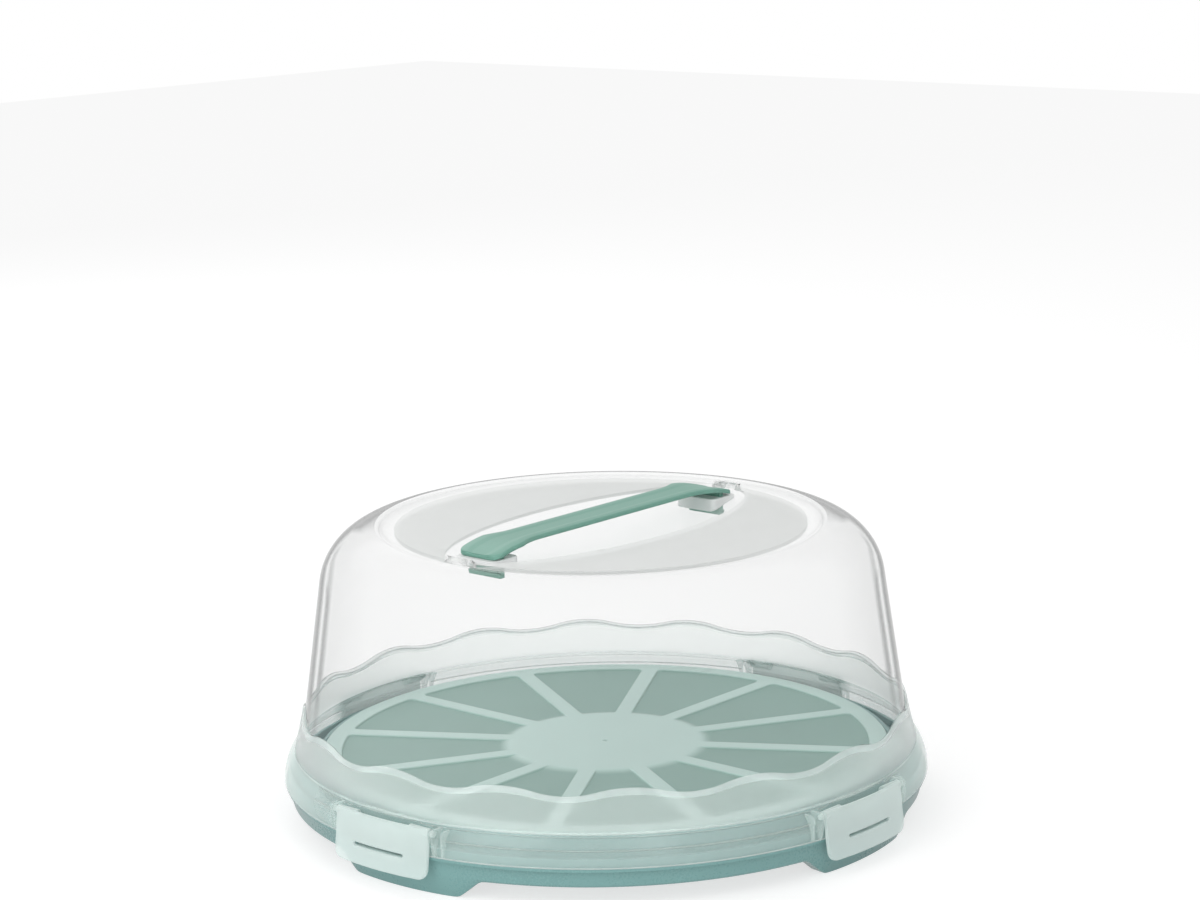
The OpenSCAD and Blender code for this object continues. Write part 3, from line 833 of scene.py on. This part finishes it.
class Dome:
    """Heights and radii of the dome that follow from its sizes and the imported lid's box."""

    def __init__(self, size, clip):
        self.size, self.clip = size, clip
        self.lip_z, self.lip_r = LID_LOW.z, LID_HIGH.x
        self.ring_z = LID_HIGH.z
        self.disc_z = self.ring_z - size.top_sink
        self.crease_z = self.lip_z + size.skirt_h
        self.wave_z = self.crease_z + size.band_h
        self.crease_r = self.skirt_r(self.crease_z)
        self.band_top_r = self.crease_r - size.band_lean
        self.wall_foot_r = self.band_top_r - size.band_step
        self.shoulder_z = self.ring_z - size.shoulder_r
        self.tangent_z = self.shoulder_z + size.shoulder_r * sin(size.wall_draft)
        self.shoulder_c = self.wall_r(self.tangent_z) - size.shoulder_r * cos(size.wall_draft)
        self.disc_r = self.shoulder_c - size.top_slope_w
        half = pi * self.band_top_r / size.waves / 2
        self.wave_round_r = (half**2 + size.wave_amp**2) / (2 * size.wave_amp)
        self.recess_half_l = self.disc_r - size.recess_margin
        depth = size.recess_depth
        self.recess_turn_r = (size.recess_half_w**2 / depth + depth) / 2
        self.recess_arc_r = (self.recess_half_l**2 / depth + depth) / 2
        self.recess_axis_z = self.disc_z + self.recess_turn_r - depth
        self.axis_z = self.lip_z + clip.axis_h
        self.pocket = (
            self.axis_z - clip.barrel_r - 2 * clip.pocket_gap,
            self.axis_z + clip.barrel_r + clip.pocket_gap,
        )
        self.pocket_x = clip.axis_r - clip.barrel_r - clip.pocket_gap
        self.lug_y = clip.half_w + clip.end_gap

    def skirt_r(self, z):
        """Radius of the skirt's outside at height z."""
        round_r = self.size.skirt_round_r
        return self.lip_r - round_r + sqrt(round_r**2 - (z - self.lip_z) ** 2)

    def band_r(self, z):
        """Radius of the band's outside at height z."""
        share = 1 - (z - self.crease_z) / (self.size.band_h + self.size.wave_amp)
        return self.band_top_r + self.size.band_lean * max(0.0, share) ** self.size.band_curve

    def wall_r(self, z):
        """Radius of the dome's wall at height z."""
        return self.wall_foot_r - (z - self.wave_z) * tan(self.size.wall_draft)

    def edge_z(self, turn):
        """Height of the wavy edge: round crests and round troughs by turns."""
        step = 2 * pi / self.size.waves
        crest = (turn + step / 2) % step - step / 2
        side = 1 if abs(crest) < step / 4 else -1
        off = crest if side > 0 else turn % step - step / 2
        y = self.band_top_r * sin(off)
        return self.wave_z + side * (
            self.size.wave_amp - self.wave_round_r + sqrt(self.wave_round_r**2 - y * y)
        )

    def recess_round(self, x):
        """Radius of the recess's round section at x."""
        return self.recess_turn_r - self.recess_arc_r + sqrt(self.recess_arc_r**2 - x * x)

    def recess_z(self, x, y):
        return self.recess_axis_z - sqrt(self.recess_round(x) ** 2 - y * y)

    def recess_edge(self, x):
        """Half width of the recess's mouth at x."""
        to_top = self.recess_turn_r - self.size.recess_depth
        return sqrt(max(0.0, self.recess_round(x) ** 2 - to_top**2))

    def skirt_levels(self):
        low, high = self.pocket
        plain = [self.lip_z + self.size.skirt_h * share for share in (0, 0.05, 0.12, 0.24, 0.36, 0.46)]
        inside = [low + (high - low) * share for share in (0.004, 0.25, 0.5, 0.75, 0.996)]
        return plain + [low] + inside + [high, self.crease_z - BEAD, self.crease_z]

    def pocketed(self, point):
        """The point, or its place on the flat wall of the pocket behind a clip's barrel."""
        low, high = self.pocket
        if not low < point.z < high:
            return point
        off = atan2(point.y, point.x)
        turn = round(off / QUARTER) * QUARTER
        local = turned([point], -turn)[0]
        if abs(local.y) < self.lug_y and local.x > self.pocket_x:
            local.x = self.pocket_x
            return turned([local], turn)[0]
        return point


# The dome's material slots, and the plastics in them.
CLEAR, FROST, BAND, SKIRT, RECESS, HIGHLIGHT = range(6)
DOME_SKINS = (
    clear_plastic,
    frosted_plastic,
    band_plastic,
    skirt_plastic,
    recess_plastic,
    highlight_plastic,
)
BEAD = 0.0005  # width of the painted highlight bead on each side of an edge
WALL_START = 0.003  # height above the wavy edge at which the plain wall starts
WALL_ROWS, SHOULDER_ROWS = 10, 18
TOP_SHARES = (0.02, 0.25, 0.5, 0.75, 1)  # rows of the flat top, from its edge in to the recess


def dome_section(dome, turn):
    """Radius, height and material of the outside from the lip up to the edge of the flat top."""
    size = dome.size
    edge = dome.edge_z(turn)
    skirt = [(dome.skirt_r(z), z) for z in dome.skirt_levels()]
    levels = [dome.crease_z + BEAD]
    levels += [dome.crease_z + (edge - dome.crease_z) * (k / 6) for k in range(1, 6)]
    start = edge + WALL_START
    band = rounded(
        [(*skirt[-1], 0)]
        + [(dome.band_r(z), z, 0) for z in levels]
        + [(dome.band_r(edge), edge, 0.0006), (dome.wall_r(edge), edge, 0.0004)]
        + [(dome.wall_r(start), start, 0)]
    )[1:]
    wall = [start + (dome.tangent_z - start) * k / WALL_ROWS for k in range(1, WALL_ROWS + 1)]
    sweep = pi / 2 - size.wall_draft
    arc = [size.wall_draft + sweep * k / SHOULDER_ROWS for k in range(1, SHOULDER_ROWS)]
    top = rounded(
        [
            (dome.shoulder_c + 0.002, dome.ring_z, 0),
            (dome.shoulder_c, dome.ring_z, 0.001),
            (dome.disc_r, dome.disc_z, 0.001),
            (dome.disc_r - 0.002, dome.disc_z, 0),
        ]
    )[1:]
    # Painted highlight: the bead slot goes on the faces just above the lip, on both sides of the crease
    # and round the wavy edge.
    highlight_rows = (1, len(skirt) - 1)
    points = [(r, z, HIGHLIGHT if i in highlight_rows else SKIRT) for i, (r, z) in enumerate(skirt)]
    kinds = [HIGHLIGHT] + [BAND] * 5 + [HIGHLIGHT] * 4 + [CLEAR] * 5
    points += [(p.x, p.y, kind) for p, kind in zip(band, kinds)]
    points += [(dome.wall_r(z), z, CLEAR) for z in wall]
    points += [
        (dome.shoulder_c + size.shoulder_r * cos(a), dome.shoulder_z + size.shoulder_r * sin(a), CLEAR)
        for a in arc
    ]
    return points + [(p.x, p.y, RECESS) for p in top]


def mouth_places(dome, handle):
    """X of the recess's mouth for each column of half the dome, with the slots' ends among them."""
    count = dome.size.columns // 2
    places = [dome.recess_half_l * cos(pi * i / count) for i in range(count + 1)]
    leg_x = HANDLE_HIGH.x - handle.leg_inset
    for side in (-1, 1):
        for off in (-1, 1):
            goal = side * leg_x + off * (handle.leg_t / 2 + handle.leg_gap)
            nearest = min(range(len(places)), key=lambda i: abs(places[i] - goal))
            places[nearest] = goal
    return places


def dome_sheet(size, clip, handle):
    """The outside of the dome with its flat top, hand recess and the slots for the handle."""
    dome = Dome(size, clip)
    sheet, rows = Sheet(), []
    places = mouth_places(dome, handle)
    count = size.columns
    for i in range(count):
        turn = 2 * pi * i / count
        section = dome_section(dome, turn)
        points = [dome.pocketed(polar(r, turn, z)) for r, z, _ in section]
        x = places[min(i, count - i)]
        y = dome.recess_edge(x) * (1 if i <= count // 2 else -1)
        goal = Vector((x, y, dome.disc_z))
        start = points[-1]
        points += [start.lerp(goal, t) for t in TOP_SHARES]
        rows.append(sheet.row(points))
    sheet.wrap(rows, [slot for _, _, slot in section[1:]] + [FROST] * len(TOP_SHARES))
    recess_rows(sheet, dome, handle, places)
    return sheet


def recess_rows(sheet, dome, handle, places):
    """The hand recess, row by row along X, open where the handle's legs go through."""
    slot_y = handle.leg_w / 2 + handle.leg_gap
    leg_x = HANDLE_HIGH.x - handle.leg_inset
    slot_x = handle.leg_t / 2 + handle.leg_gap + 1e-6
    outer = [1, 0.85, 0.7, 0.55, 0.4, 0.27, 0.14, 0]
    inner = [0.75, 0.5, 0.25, 0]
    rows, spans = [], []
    for x in places:
        width = dome.recess_edge(x)
        near = min(slot_y, 0.42 * width)
        half = [near + (width - near) * t for t in outer] + [near * t for t in inner]
        across = half + [-y for y in reversed(half[:-1])]
        rows.append(sheet.row([Vector((x, y, min(dome.disc_z, dome.recess_z(x, y)))) for y in across]))
        spans.append(across)
    for i, (first, second) in enumerate(zip(rows, rows[1:])):
        middle = (places[i] + places[i + 1]) / 2
        cut = abs(abs(middle) - leg_x) < slot_x
        for j in range(len(first) - 1):
            if cut and abs(spans[i][j] + spans[i][j + 1]) / 2 < slot_y:
                continue
            sheet.join(first[j : j + 2], second[j : j + 2], RECESS)


def lug_sheet(size, clip):
    """The lugs and ribs beside all four clips, grown out of the skirt."""
    dome = Dome(size, clip)
    sheet = Sheet()
    lug_x = clip.axis_r + clip.barrel_r

    def outline(y, front, top, over):
        """Front edge, top and the back edge that follows the skirt, in X and Z."""
        foot_z = dome.lip_z + 0.0004
        foot_x = sqrt(dome.lip_r**2 - y * y) + clip.lug_proud
        levels = [foot_z + (top - foot_z) * k / 6 for k in range(7)]
        back = [(sqrt(dome.skirt_r(min(z, dome.crease_z)) ** 2 - y * y) - 0.001, z, 0) for z in levels]
        return rounded(
            back[:1] + [(foot_x, foot_z, 0.0003), (front, dome.axis_z, 0.0006)] + over + back[:0:-1],
            closed=True,
        )

    round_top = [
        (clip.axis_r + clip.barrel_r * cos(a), dome.axis_z + clip.barrel_r * sin(a), 0)
        for a in (radians(25), radians(50), radians(75))
    ]
    lug_top = dome.axis_z + clip.barrel_r
    rib_top = dome.axis_z + clip.rib_top
    rib_y = dome.lug_y + clip.lug_t + clip.lug_gap
    rib_corner = (clip.axis_r - clip.rib_back, rib_top, 0.0004)
    shapes = (
        (dome.lug_y, clip.lug_t, lug_x, lug_top, round_top + [(clip.axis_r, lug_top, 0)]),
        (rib_y, clip.rib_t, lug_x - clip.rib_back, rib_top, [rib_corner]),
    )
    for quarter in range(4):
        for side in (-1, 1):
            for low, thick, front, top, over in shapes:
                high = low + thick
                line = outline((low + high) / 2, front, top, over)
                slab(sheet, line, *sorted((side * low, side * high)), quarter * QUARTER)
    return sheet


PAD_ROUND, HOLE_ROUND = 0.003, 0.0002  # corners of a pad and of its slot
PAD_SINK = 0.0008  # how far a pad goes into the recess's floor


def pad_sheet(size, clip, handle):
    """The two pads under the handle's ends, each with the slot for a leg, and the recess's gate mark."""
    dome = Dome(size, clip)
    sheet = Sheet()
    top = HANDLE_HIGH.z - handle.top_gap - handle.thick - handle.drop - handle.pad_gap
    leg_x = HANDLE_HIGH.x - handle.leg_inset
    hole = (handle.leg_t / 2 + handle.leg_gap, handle.leg_w / 2 + handle.leg_gap)
    body = (handle.pad_half_l, handle.pad_half_w)

    def box(half, radius, drawn=0.0):
        x, y = half[0] - drawn, half[1] - drawn
        corners = [(x, -y, radius), (x, y, radius), (-x, y, radius), (-x, -y, radius)]
        return rounded(corners, closed=True, steps=5)

    def ring(outline, side, height=None):
        """A row round one pad, at a height or else under the recess's floor."""
        points = []
        for p in outline:
            x, z = leg_x + p.x, height
            if height is None:
                z = dome.recess_z(min(x, dome.recess_half_l), p.y) - PAD_SINK
            points.append(Vector((x, p.y, min(z, top))))
        return sheet.row(turned(points, side * pi))

    for side in (0, 1):
        rings = [
            ring(box(body, PAD_ROUND), side),
            ring(box(body, PAD_ROUND), side, top - 0.0004),
            ring(box(body, PAD_ROUND, 0.0003), side, top),
            ring(box(hole, HOLE_ROUND, -0.0003), side, top),
            ring(box(hole, HOLE_ROUND), side, top - 0.0003),
            ring(box(hole, HOLE_ROUND), side),
        ]
        sheet.chain(rings + rings[:1])
    floor_z = dome.recess_z(0, 0)
    for_z = ((0.0016, -0.0003), (0.0016, 0.0003), (0.0012, 0.0006))
    sheet.stack([[polar(r, k * pi / 12, floor_z + rise) for k in range(24)] for r, rise in for_z])
    return sheet


# ---- Handle ----


def handle_sheet(handle):
    """The strap, dished along its top and bent down at its ends, and its two barbed legs."""
    half_l = HANDLE_HIGH.x
    bend_l = half_l - handle.flat_half_l
    leg_x = half_l - handle.leg_inset
    low_z = HANDLE_HIGH.z - handle.top_gap - handle.thick

    def underside(x):
        return low_z - handle.drop * (max(0, abs(x) - handle.flat_half_l) / bend_l) ** 2

    def half_width(x):
        x = abs(x)
        past = x - (half_l - handle.round_r)
        if past > 0:
            return handle.end_half_w - handle.round_r + sqrt(max(0, handle.round_r**2 - past**2))
        out = max(0, x - handle.neck_half_l)
        flare = handle.flare_r - sqrt(max(0, handle.flare_r**2 - out**2))
        return min(handle.end_half_w, handle.mid_half_w + flare)

    def section(x, drawn=0.0):
        wide = half_width(x) - drawn
        low, high = underside(x) + drawn, underside(x) + handle.thick - drawn
        dish = high - handle.dish
        crest, trough = 0.62 * wide, 0.38 * wide
        line = rounded(
            [
                (-wide, low, 0.0006),
                (wide, low, 0.0006),
                (wide, high - 0.0001, handle.edge_r),
                (crest, high, 0.002),
                (trough, dish, 0.002),
                (-trough, dish, 0.002),
                (-crest, high, 0.002),
                (-wide, high - 0.0001, handle.edge_r),
            ],
            closed=True,
        )
        return [Vector((x, p.x, p.y)) for p in line]

    count = 96
    places = [-half_l * cos(pi * k / count) for k in range(count + 1)]
    ends = section(places[0], 0.0004), section(places[-1], 0.0004)
    places[0] += 0.0002
    places[-1] -= 0.0002
    sheet = Sheet()
    sheet.stack([ends[0]] + [section(x) for x in places] + [ends[1]])
    foot, root = HANDLE_LOW.z, underside(leg_x) + handle.thick / 2
    back, out = leg_x - handle.leg_t / 2, leg_x + handle.leg_t / 2
    leg = rounded(
        [
            (back, foot, 0.0004),
            (out + 0.0004, foot, 0.0004),
            (out + handle.barb, foot + handle.barb_h, 0.0003),
            (out, foot + handle.barb_h, 0.0002),
            (out, root, 0),
            (back, root, 0),
        ],
        closed=True,
    )
    for side in (0, 1):
        slab(sheet, leg, -handle.leg_w / 2, handle.leg_w / 2, side * pi)
    return sheet


# ---- Clips ----


def clip_face_r(clip, z):
    """Radius of the clip plate's inside at height z: upright by the skirt, leaning out at the tab."""
    neck = LID_HIGH.x - clip.lip_gap
    lip = LID_HIGH.x + clip.lip_gap
    tab = lip + clip.tab_lean
    if z > LID_LOW.z:
        return neck + (lip - neck) * (CLIP_HIGH.z - z) / (CLIP_HIGH.z - LID_LOW.z)
    return lip + (tab - lip) * (LID_LOW.z - z) / (LID_LOW.z - CLIP_LOW.z)


def clip_outline(clip, drawn=0.0):
    """Outline of the plate in Y and Z, from the middle of its +Y side round through the top."""
    side, low, high = clip.half_w - drawn, CLIP_LOW.z + drawn, CLIP_HIGH.z - drawn
    middle = (low + high) / 2
    return rounded(
        [
            (side, middle, 0),
            (side, high, 0.0008),
            (0, high, 0),
            (-side, high, 0.0008),
            (-side, middle, 0),
            (-side, low, clip.tab_round_r),
            (0, low, 0),
            (side, low, clip.tab_round_r),
            (side, middle, 0),
        ],
        steps=6,
    )[:-1]


def even(outline, count):
    """Points spaced evenly along a closed outline."""
    closed = outline + outline[:1]
    runs = [(b - a).length for a, b in zip(closed, closed[1:])]
    step, done, made, i = sum(runs) / count, 0.0, [], 0
    for k in range(count):
        goal = k * step
        while done + runs[i] < goal:
            done += runs[i]
            i += 1
        made.append(closed[i].lerp(closed[i + 1], (goal - done) / runs[i]))
    return made


CLIP_POINTS = 144  # points round a clip's plate
FACE_SHARES = (0, 0.03, 0.2, 0.4, 0.6, 0.8, 1)  # rows of a clip's face, from its rim to its slot


def clip_sheet(clip):
    """One clip at +X: plate with its slot, hook, barrels and pins."""
    sheet = Sheet()
    hook_z = LID_LOW.z - clip.hook_top
    slot_z = hook_z + clip.slot_h / 2 + 0.0002
    edge = 0.0005

    def slot_line(grown=0.0):
        radius = clip.slot_h / 2 + grown
        half = clip.hook_half_w + grown
        corners = [(half, slot_z + s, radius) for s in (-radius, radius)]
        corners += [(-half, slot_z + s, radius) for s in (radius, -radius)]
        line = rounded(corners, closed=True, steps=6)
        return line[7:] + line[:7]

    def shell(line, depth):
        return [at_radius(clip_face_r(clip, p.y) + depth, p.x, p.y) for p in line]

    def hole(grown=0.0):
        """The slot's outline, begun on the same side as the plate's own."""
        line = even(slot_line(grown), CLIP_POINTS)
        start = Vector((clip.hook_half_w * 2, slot_z))
        shift = min(range(CLIP_POINTS), key=lambda k: (line[k] - start).length)
        return line[shift:] + line[:shift]

    def face(depth):
        """Rows from the plate's rim in to its slot."""
        lines = list(zip(even(clip_outline(clip, edge), CLIP_POINTS), hole(edge)))
        return [sheet.row(shell([a.lerp(b, t) for a, b in lines], depth)) for t in FACE_SHARES]

    def between(line, first, second):
        """The wall between the two faces along one line."""
        walls = [sheet.row(shell(line, depth)) for depth in (edge, clip.thick - edge)]
        sheet.chain([first, *walls, second])

    back, front = face(0), face(clip.thick)
    sheet.chain(back)
    sheet.chain(front)
    between(even(clip_outline(clip), CLIP_POINTS), back[0], front[0])
    between(hole(), back[-1], front[-1])

    root = clip_face_r(clip, hook_z) + 0.0006
    lip = rounded(
        [
            (clip.hook_r, hook_z, 0.0003),
            (clip.hook_r + 0.0012, hook_z - clip.hook_h, 0.0004),
            (root, hook_z - clip.hook_h, 0),
            (root, hook_z, 0),
        ],
        closed=True,
    )
    half = clip.hook_half_w
    stations = [-half, -half + 0.0003] + [half * k / 6 for k in range(-5, 6)] + [half - 0.0003, half]
    rows = []
    for k, y in enumerate(stations):
        line = inset(lip, 0.0003) if k in (0, len(stations) - 1) else lip
        rows.append([at_radius(p.x, y, p.y) for p in line])
    sheet.stack(rows)
    centre = (clip.axis_r, LID_LOW.z + clip.axis_h)
    bars = (
        (clip.barrel_r, clip.half_w - clip.barrel_l, clip.half_w),
        (clip.pin_r, clip.half_w - 0.001, clip.half_w + clip.pin_l),
    )
    for side in (-1, 1):
        for radius, low, high in bars:
            rod(sheet, centre, radius, *sorted((side * low, side * high)))
    return sheet


# ---- Operators ----


class Builder(bpy.types.Operator):
    """Shared base of the operators that build the carrier."""

    bl_options = {"REGISTER", "UNDO"}

    def settle(self, piece, body, *nodes, slot):
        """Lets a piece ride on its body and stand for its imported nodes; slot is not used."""
        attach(piece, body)
        if nodes:
            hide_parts(*nodes)
        return piece


class CARRIER_OT_tray(Builder):
    """Build the footed tray"""

    bl_idname = "carrier.tray"
    bl_label = "Tray"

    def execute(self, context):
        scene = context.scene
        sheet = tray_sheet(scene.carrier_tray)
        piece = sheet.piece("footed_tray", [tray_plastic(scene.carrier_finish)])
        self.settle(piece, "tray", "base_tray", slot="tray_green")
        return {"FINISHED"}


class CARRIER_OT_plate(Builder):
    """Build the serving plate with its twelve portions"""

    bl_idname = "carrier.plate"
    bl_label = "Serving plate"

    def execute(self, context):
        scene = context.scene
        sheet, masks = plate_sheet(scene.carrier_plate)
        piece = sheet.piece("serving_plate", [plate_plastic(scene.carrier_finish)], panel=masks)
        self.settle(piece, "plate", "insert_plate", slot="plate_mint")
        return {"FINISHED"}


class CARRIER_OT_lid(Builder):
    """Build the dome lid with its recess, wavy band, lugs and pads"""

    bl_idname = "carrier.lid"
    bl_label = "Dome lid"

    def execute(self, context):
        scene = context.scene
        size, clip, handle = scene.carrier_lid, scene.carrier_clip, scene.carrier_handle
        finish = scene.carrier_finish
        skins = [plastic(finish) for plastic in DOME_SKINS]
        inside = [inner_plastic(finish)] + skins[1:HIGHLIGHT] + [skins[SKIRT]]
        dome = dome_sheet(size, clip, handle).piece("dome", skins + inside, sharp=24)
        wall = dome.modifiers.new("wall", "SOLIDIFY")
        wall.thickness, wall.offset = size.wall_t, -1
        wall.material_offset = len(skins)
        self.settle(dome, "lid", "dome_lid", slot="lid_clear")
        lugs = lug_sheet(size, clip).piece("clip_lugs", [skins[SKIRT]])
        self.settle(lugs, "lid", slot="lid_clear")
        pads = pad_sheet(size, clip, handle).piece("handle_pads", [pad_plastic(finish)])
        self.settle(pads, "lid", slot="lid_clear")
        return {"FINISHED"}


class CARRIER_OT_handle(Builder):
    """Build the strap handle with its barbed legs"""

    bl_idname = "carrier.handle"
    bl_label = "Handle"

    def execute(self, context):
        scene = context.scene
        sheet = handle_sheet(scene.carrier_handle)
        piece = sheet.piece("strap_handle", [handle_plastic(scene.carrier_finish)])
        self.settle(piece, "lid", "carry_handle", slot="handle_green")
        return {"FINISHED"}


class CARRIER_OT_clips(Builder):
    """Build the four hinged clips"""

    bl_idname = "carrier.clips"
    bl_label = "Clips"

    def execute(self, context):
        scene = context.scene
        skin = clip_plastic(scene.carrier_finish)
        for quarter, name in enumerate(CLIPS):
            sheet = clip_sheet(scene.carrier_clip)
            sheet.points = turned(sheet.points, quarter * QUARTER)
            piece = sheet.piece(name + "_snap", [skin])
            self.settle(piece, name, name, slot="clip_frost")
        return {"FINISHED"}


LAMPS = (  # name, place, the point it is aimed at, width, height and power
    ("left", (-1.4, -0.05, 0.8), (0, 0, 0.05), 0.7, 1.5, 9),
    ("right", (-0.71, -1.2, 0.8), (0, 0, 0.05), 0.32, 1.5, 4),
    ("back", (0.6, 1.5, 1.3), (0, 0, 0.1), 1.2, 1.2, 8),
)
PHOTO_W, PHOTO_H = 1200, 900  # in pixels
SENSOR_W = 36  # in millimetres
FLOOR_HALF = 4.0  # half the floor's width


def add_lamp(name, place, aim, wide, tall, power):
    """A rectangular lamp that faces the aim point."""
    lamp = bpy.data.lights.new(name, "AREA")
    lamp.shape, lamp.size, lamp.size_y, lamp.energy = "RECTANGLE", wide, tall, power
    made = bpy.data.objects.new(name, lamp)
    made.location = place
    made.rotation_mode = "QUATERNION"
    made.rotation_quaternion = (Vector(aim) - Vector(place)).to_track_quat("-Z", "Y")
    bpy.context.scene.collection.objects.link(made)


def seen_white(nodes, links, lit, white):
    """Swaps a lit shader for a white one wherever a camera, glossy or transmitted ray meets it."""
    path = nodes.new("ShaderNodeLightPath")
    mixed = nodes.new("ShaderNodeMixShader")
    share = path.outputs["Is Camera Ray"]
    for kind in ("Is Glossy Ray", "Is Transmission Ray"):
        more = nodes.new("ShaderNodeMath")
        more.operation = "MAXIMUM"
        links.new(share, more.inputs[0])
        links.new(path.outputs[kind], more.inputs[1])
        share = more.outputs[0]
    links.new(share, mixed.inputs[0])
    links.new(lit, mixed.inputs[1])
    links.new(white, mixed.inputs[2])
    return mixed.outputs[0]


class CARRIER_OT_stage(bpy.types.Operator):
    """Set up the camera, the soft lamps and the pale floor"""

    bl_idname = "carrier.stage"
    bl_label = "Stage"

    def execute(self, context):
        stage = context.scene.carrier_stage
        context.scene.view_settings.view_transform = "Standard"
        self.camera(context, stage)
        self.world(context, stage)
        self.floor(stage)
        for lamp in LAMPS:
            add_lamp(*lamp)
        return {"FINISHED"}

    def camera(self, context, stage):
        """Aims so that the aim point falls on its own pixel of the photo's frame."""
        turn, rise = stage.azimuth, stage.elevation
        back = Vector((sin(turn) * cos(rise), -cos(turn) * cos(rise), sin(rise)))
        right = Vector((cos(turn), sin(turn), 0))
        level = Matrix((right, back.cross(right), back))
        roll = Matrix.Rotation(-stage.roll, 3, "Z")
        across = (stage.aim_u - PHOTO_W / 2) / stage.focal
        down = (stage.aim_v - PHOTO_H / 2) / stage.focal
        off = Vector((across, -down, -1)).normalized()
        shift = Vector((0, 0, -1)).rotation_difference(off).to_matrix()
        data = bpy.data.cameras.new("camera")
        data.sensor_width, data.lens = SENSOR_W, stage.focal / PHOTO_W * SENSOR_W
        data.clip_start, data.clip_end = 0.05, 50
        camera = bpy.data.objects.new("camera", data)
        place = Matrix.Translation(Vector((0, 0, stage.aim_h)) + back * stage.distance)
        camera.matrix_world = place @ (shift @ roll @ level).transposed().to_4x4()
        context.scene.collection.objects.link(camera)
        context.scene.camera = camera

    def world(self, context, stage):
        """Even light from all round, which the camera sees as plain white."""
        world = bpy.data.worlds.new("studio")
        context.scene.world = world
        world.use_nodes = True
        nodes, links = world.node_tree.nodes, world.node_tree.links
        nodes.clear()
        soft, white = nodes.new("ShaderNodeBackground"), nodes.new("ShaderNodeBackground")
        for light, strength in ((soft, stage.world_light), (white, 1)):
            light.inputs["Color"].default_value = grey(1)
            light.inputs["Strength"].default_value = strength
        output = nodes.new("ShaderNodeOutputWorld")
        links.new(seen_white(nodes, links, soft.outputs[0], white.outputs[0]), output.inputs[0])

    def floor(self, stage):
        """A wide pale floor; the camera sees its shadow on nearly white ground."""
        sheet = Sheet()
        corners = ((-1, -1), (1, -1), (1, 1), (-1, 1))
        sheet.fill(sheet.row([FLOOR_HALF * Vector((x, y, 0)) for x, y in corners]))
        paint = Paint("floor_white", roughness=0.9)
        paint.shader.inputs["Base Color"].default_value = grey(stage.floor_white)
        matt = paint.nodes.new("ShaderNodeBsdfDiffuse")
        matt.inputs["Color"].default_value = grey(stage.floor_shade)
        glow = paint.nodes.new("ShaderNodeEmission")
        glow.inputs["Strength"].default_value = stage.floor_glow
        both = paint.nodes.new("ShaderNodeAddShader")
        paint.links.new(matt.outputs[0], both.inputs[0])
        paint.links.new(glow.outputs[0], both.inputs[1])
        seen = seen_white(paint.nodes, paint.links, paint.shader.outputs["BSDF"], both.outputs[0])
        output = next(node for node in paint.nodes if node.type == "OUTPUT_MATERIAL")
        paint.links.new(seen, output.inputs["Surface"])
        floor = sheet.piece("floor", [paint.material])


class CARRIER_PT_panel(bpy.types.Panel):
    """Sidebar panel with one button for each group of pieces"""

    bl_label = "Cake Carrier"
    bl_idname = "CARRIER_PT_panel"
    bl_space_type = "VIEW_3D"
    bl_region_type = "UI"
    bl_category = "Cake Carrier"

    def draw(self, context):
        for operator in OPERATORS:
            self.layout.operator(operator.bl_idname)


OPERATORS = (
    CARRIER_OT_stage,
    CARRIER_OT_tray,
    CARRIER_OT_plate,
    CARRIER_OT_lid,
    CARRIER_OT_handle,
    CARRIER_OT_clips,
)
GROUPS = {
    "carrier_tray": TraySizes,
    "carrier_plate": PlateSizes,
    "carrier_lid": LidSizes,
    "carrier_handle": HandleSizes,
    "carrier_clip": ClipSizes,
    "carrier_finish": Finishes,
    "carrier_stage": StageSettings,
}


def register():
    for kind in (*GROUPS.values(), *OPERATORS, CARRIER_PT_panel):
        bpy.utils.register_class(kind)
    for name, kind in GROUPS.items():
        setattr(bpy.types.Scene, name, PointerProperty(type=kind))


def unregister():
    for name in GROUPS:
        delattr(bpy.types.Scene, name)
    for kind in reversed((*GROUPS.values(), *OPERATORS, CARRIER_PT_panel)):
        bpy.utils.unregister_class(kind)


def main():
    register()
    for operator in OPERATORS:
        group, name = operator.bl_idname.split(".")
        getattr(getattr(bpy.ops, group), name)()


if __name__ == "__main__":
    main()
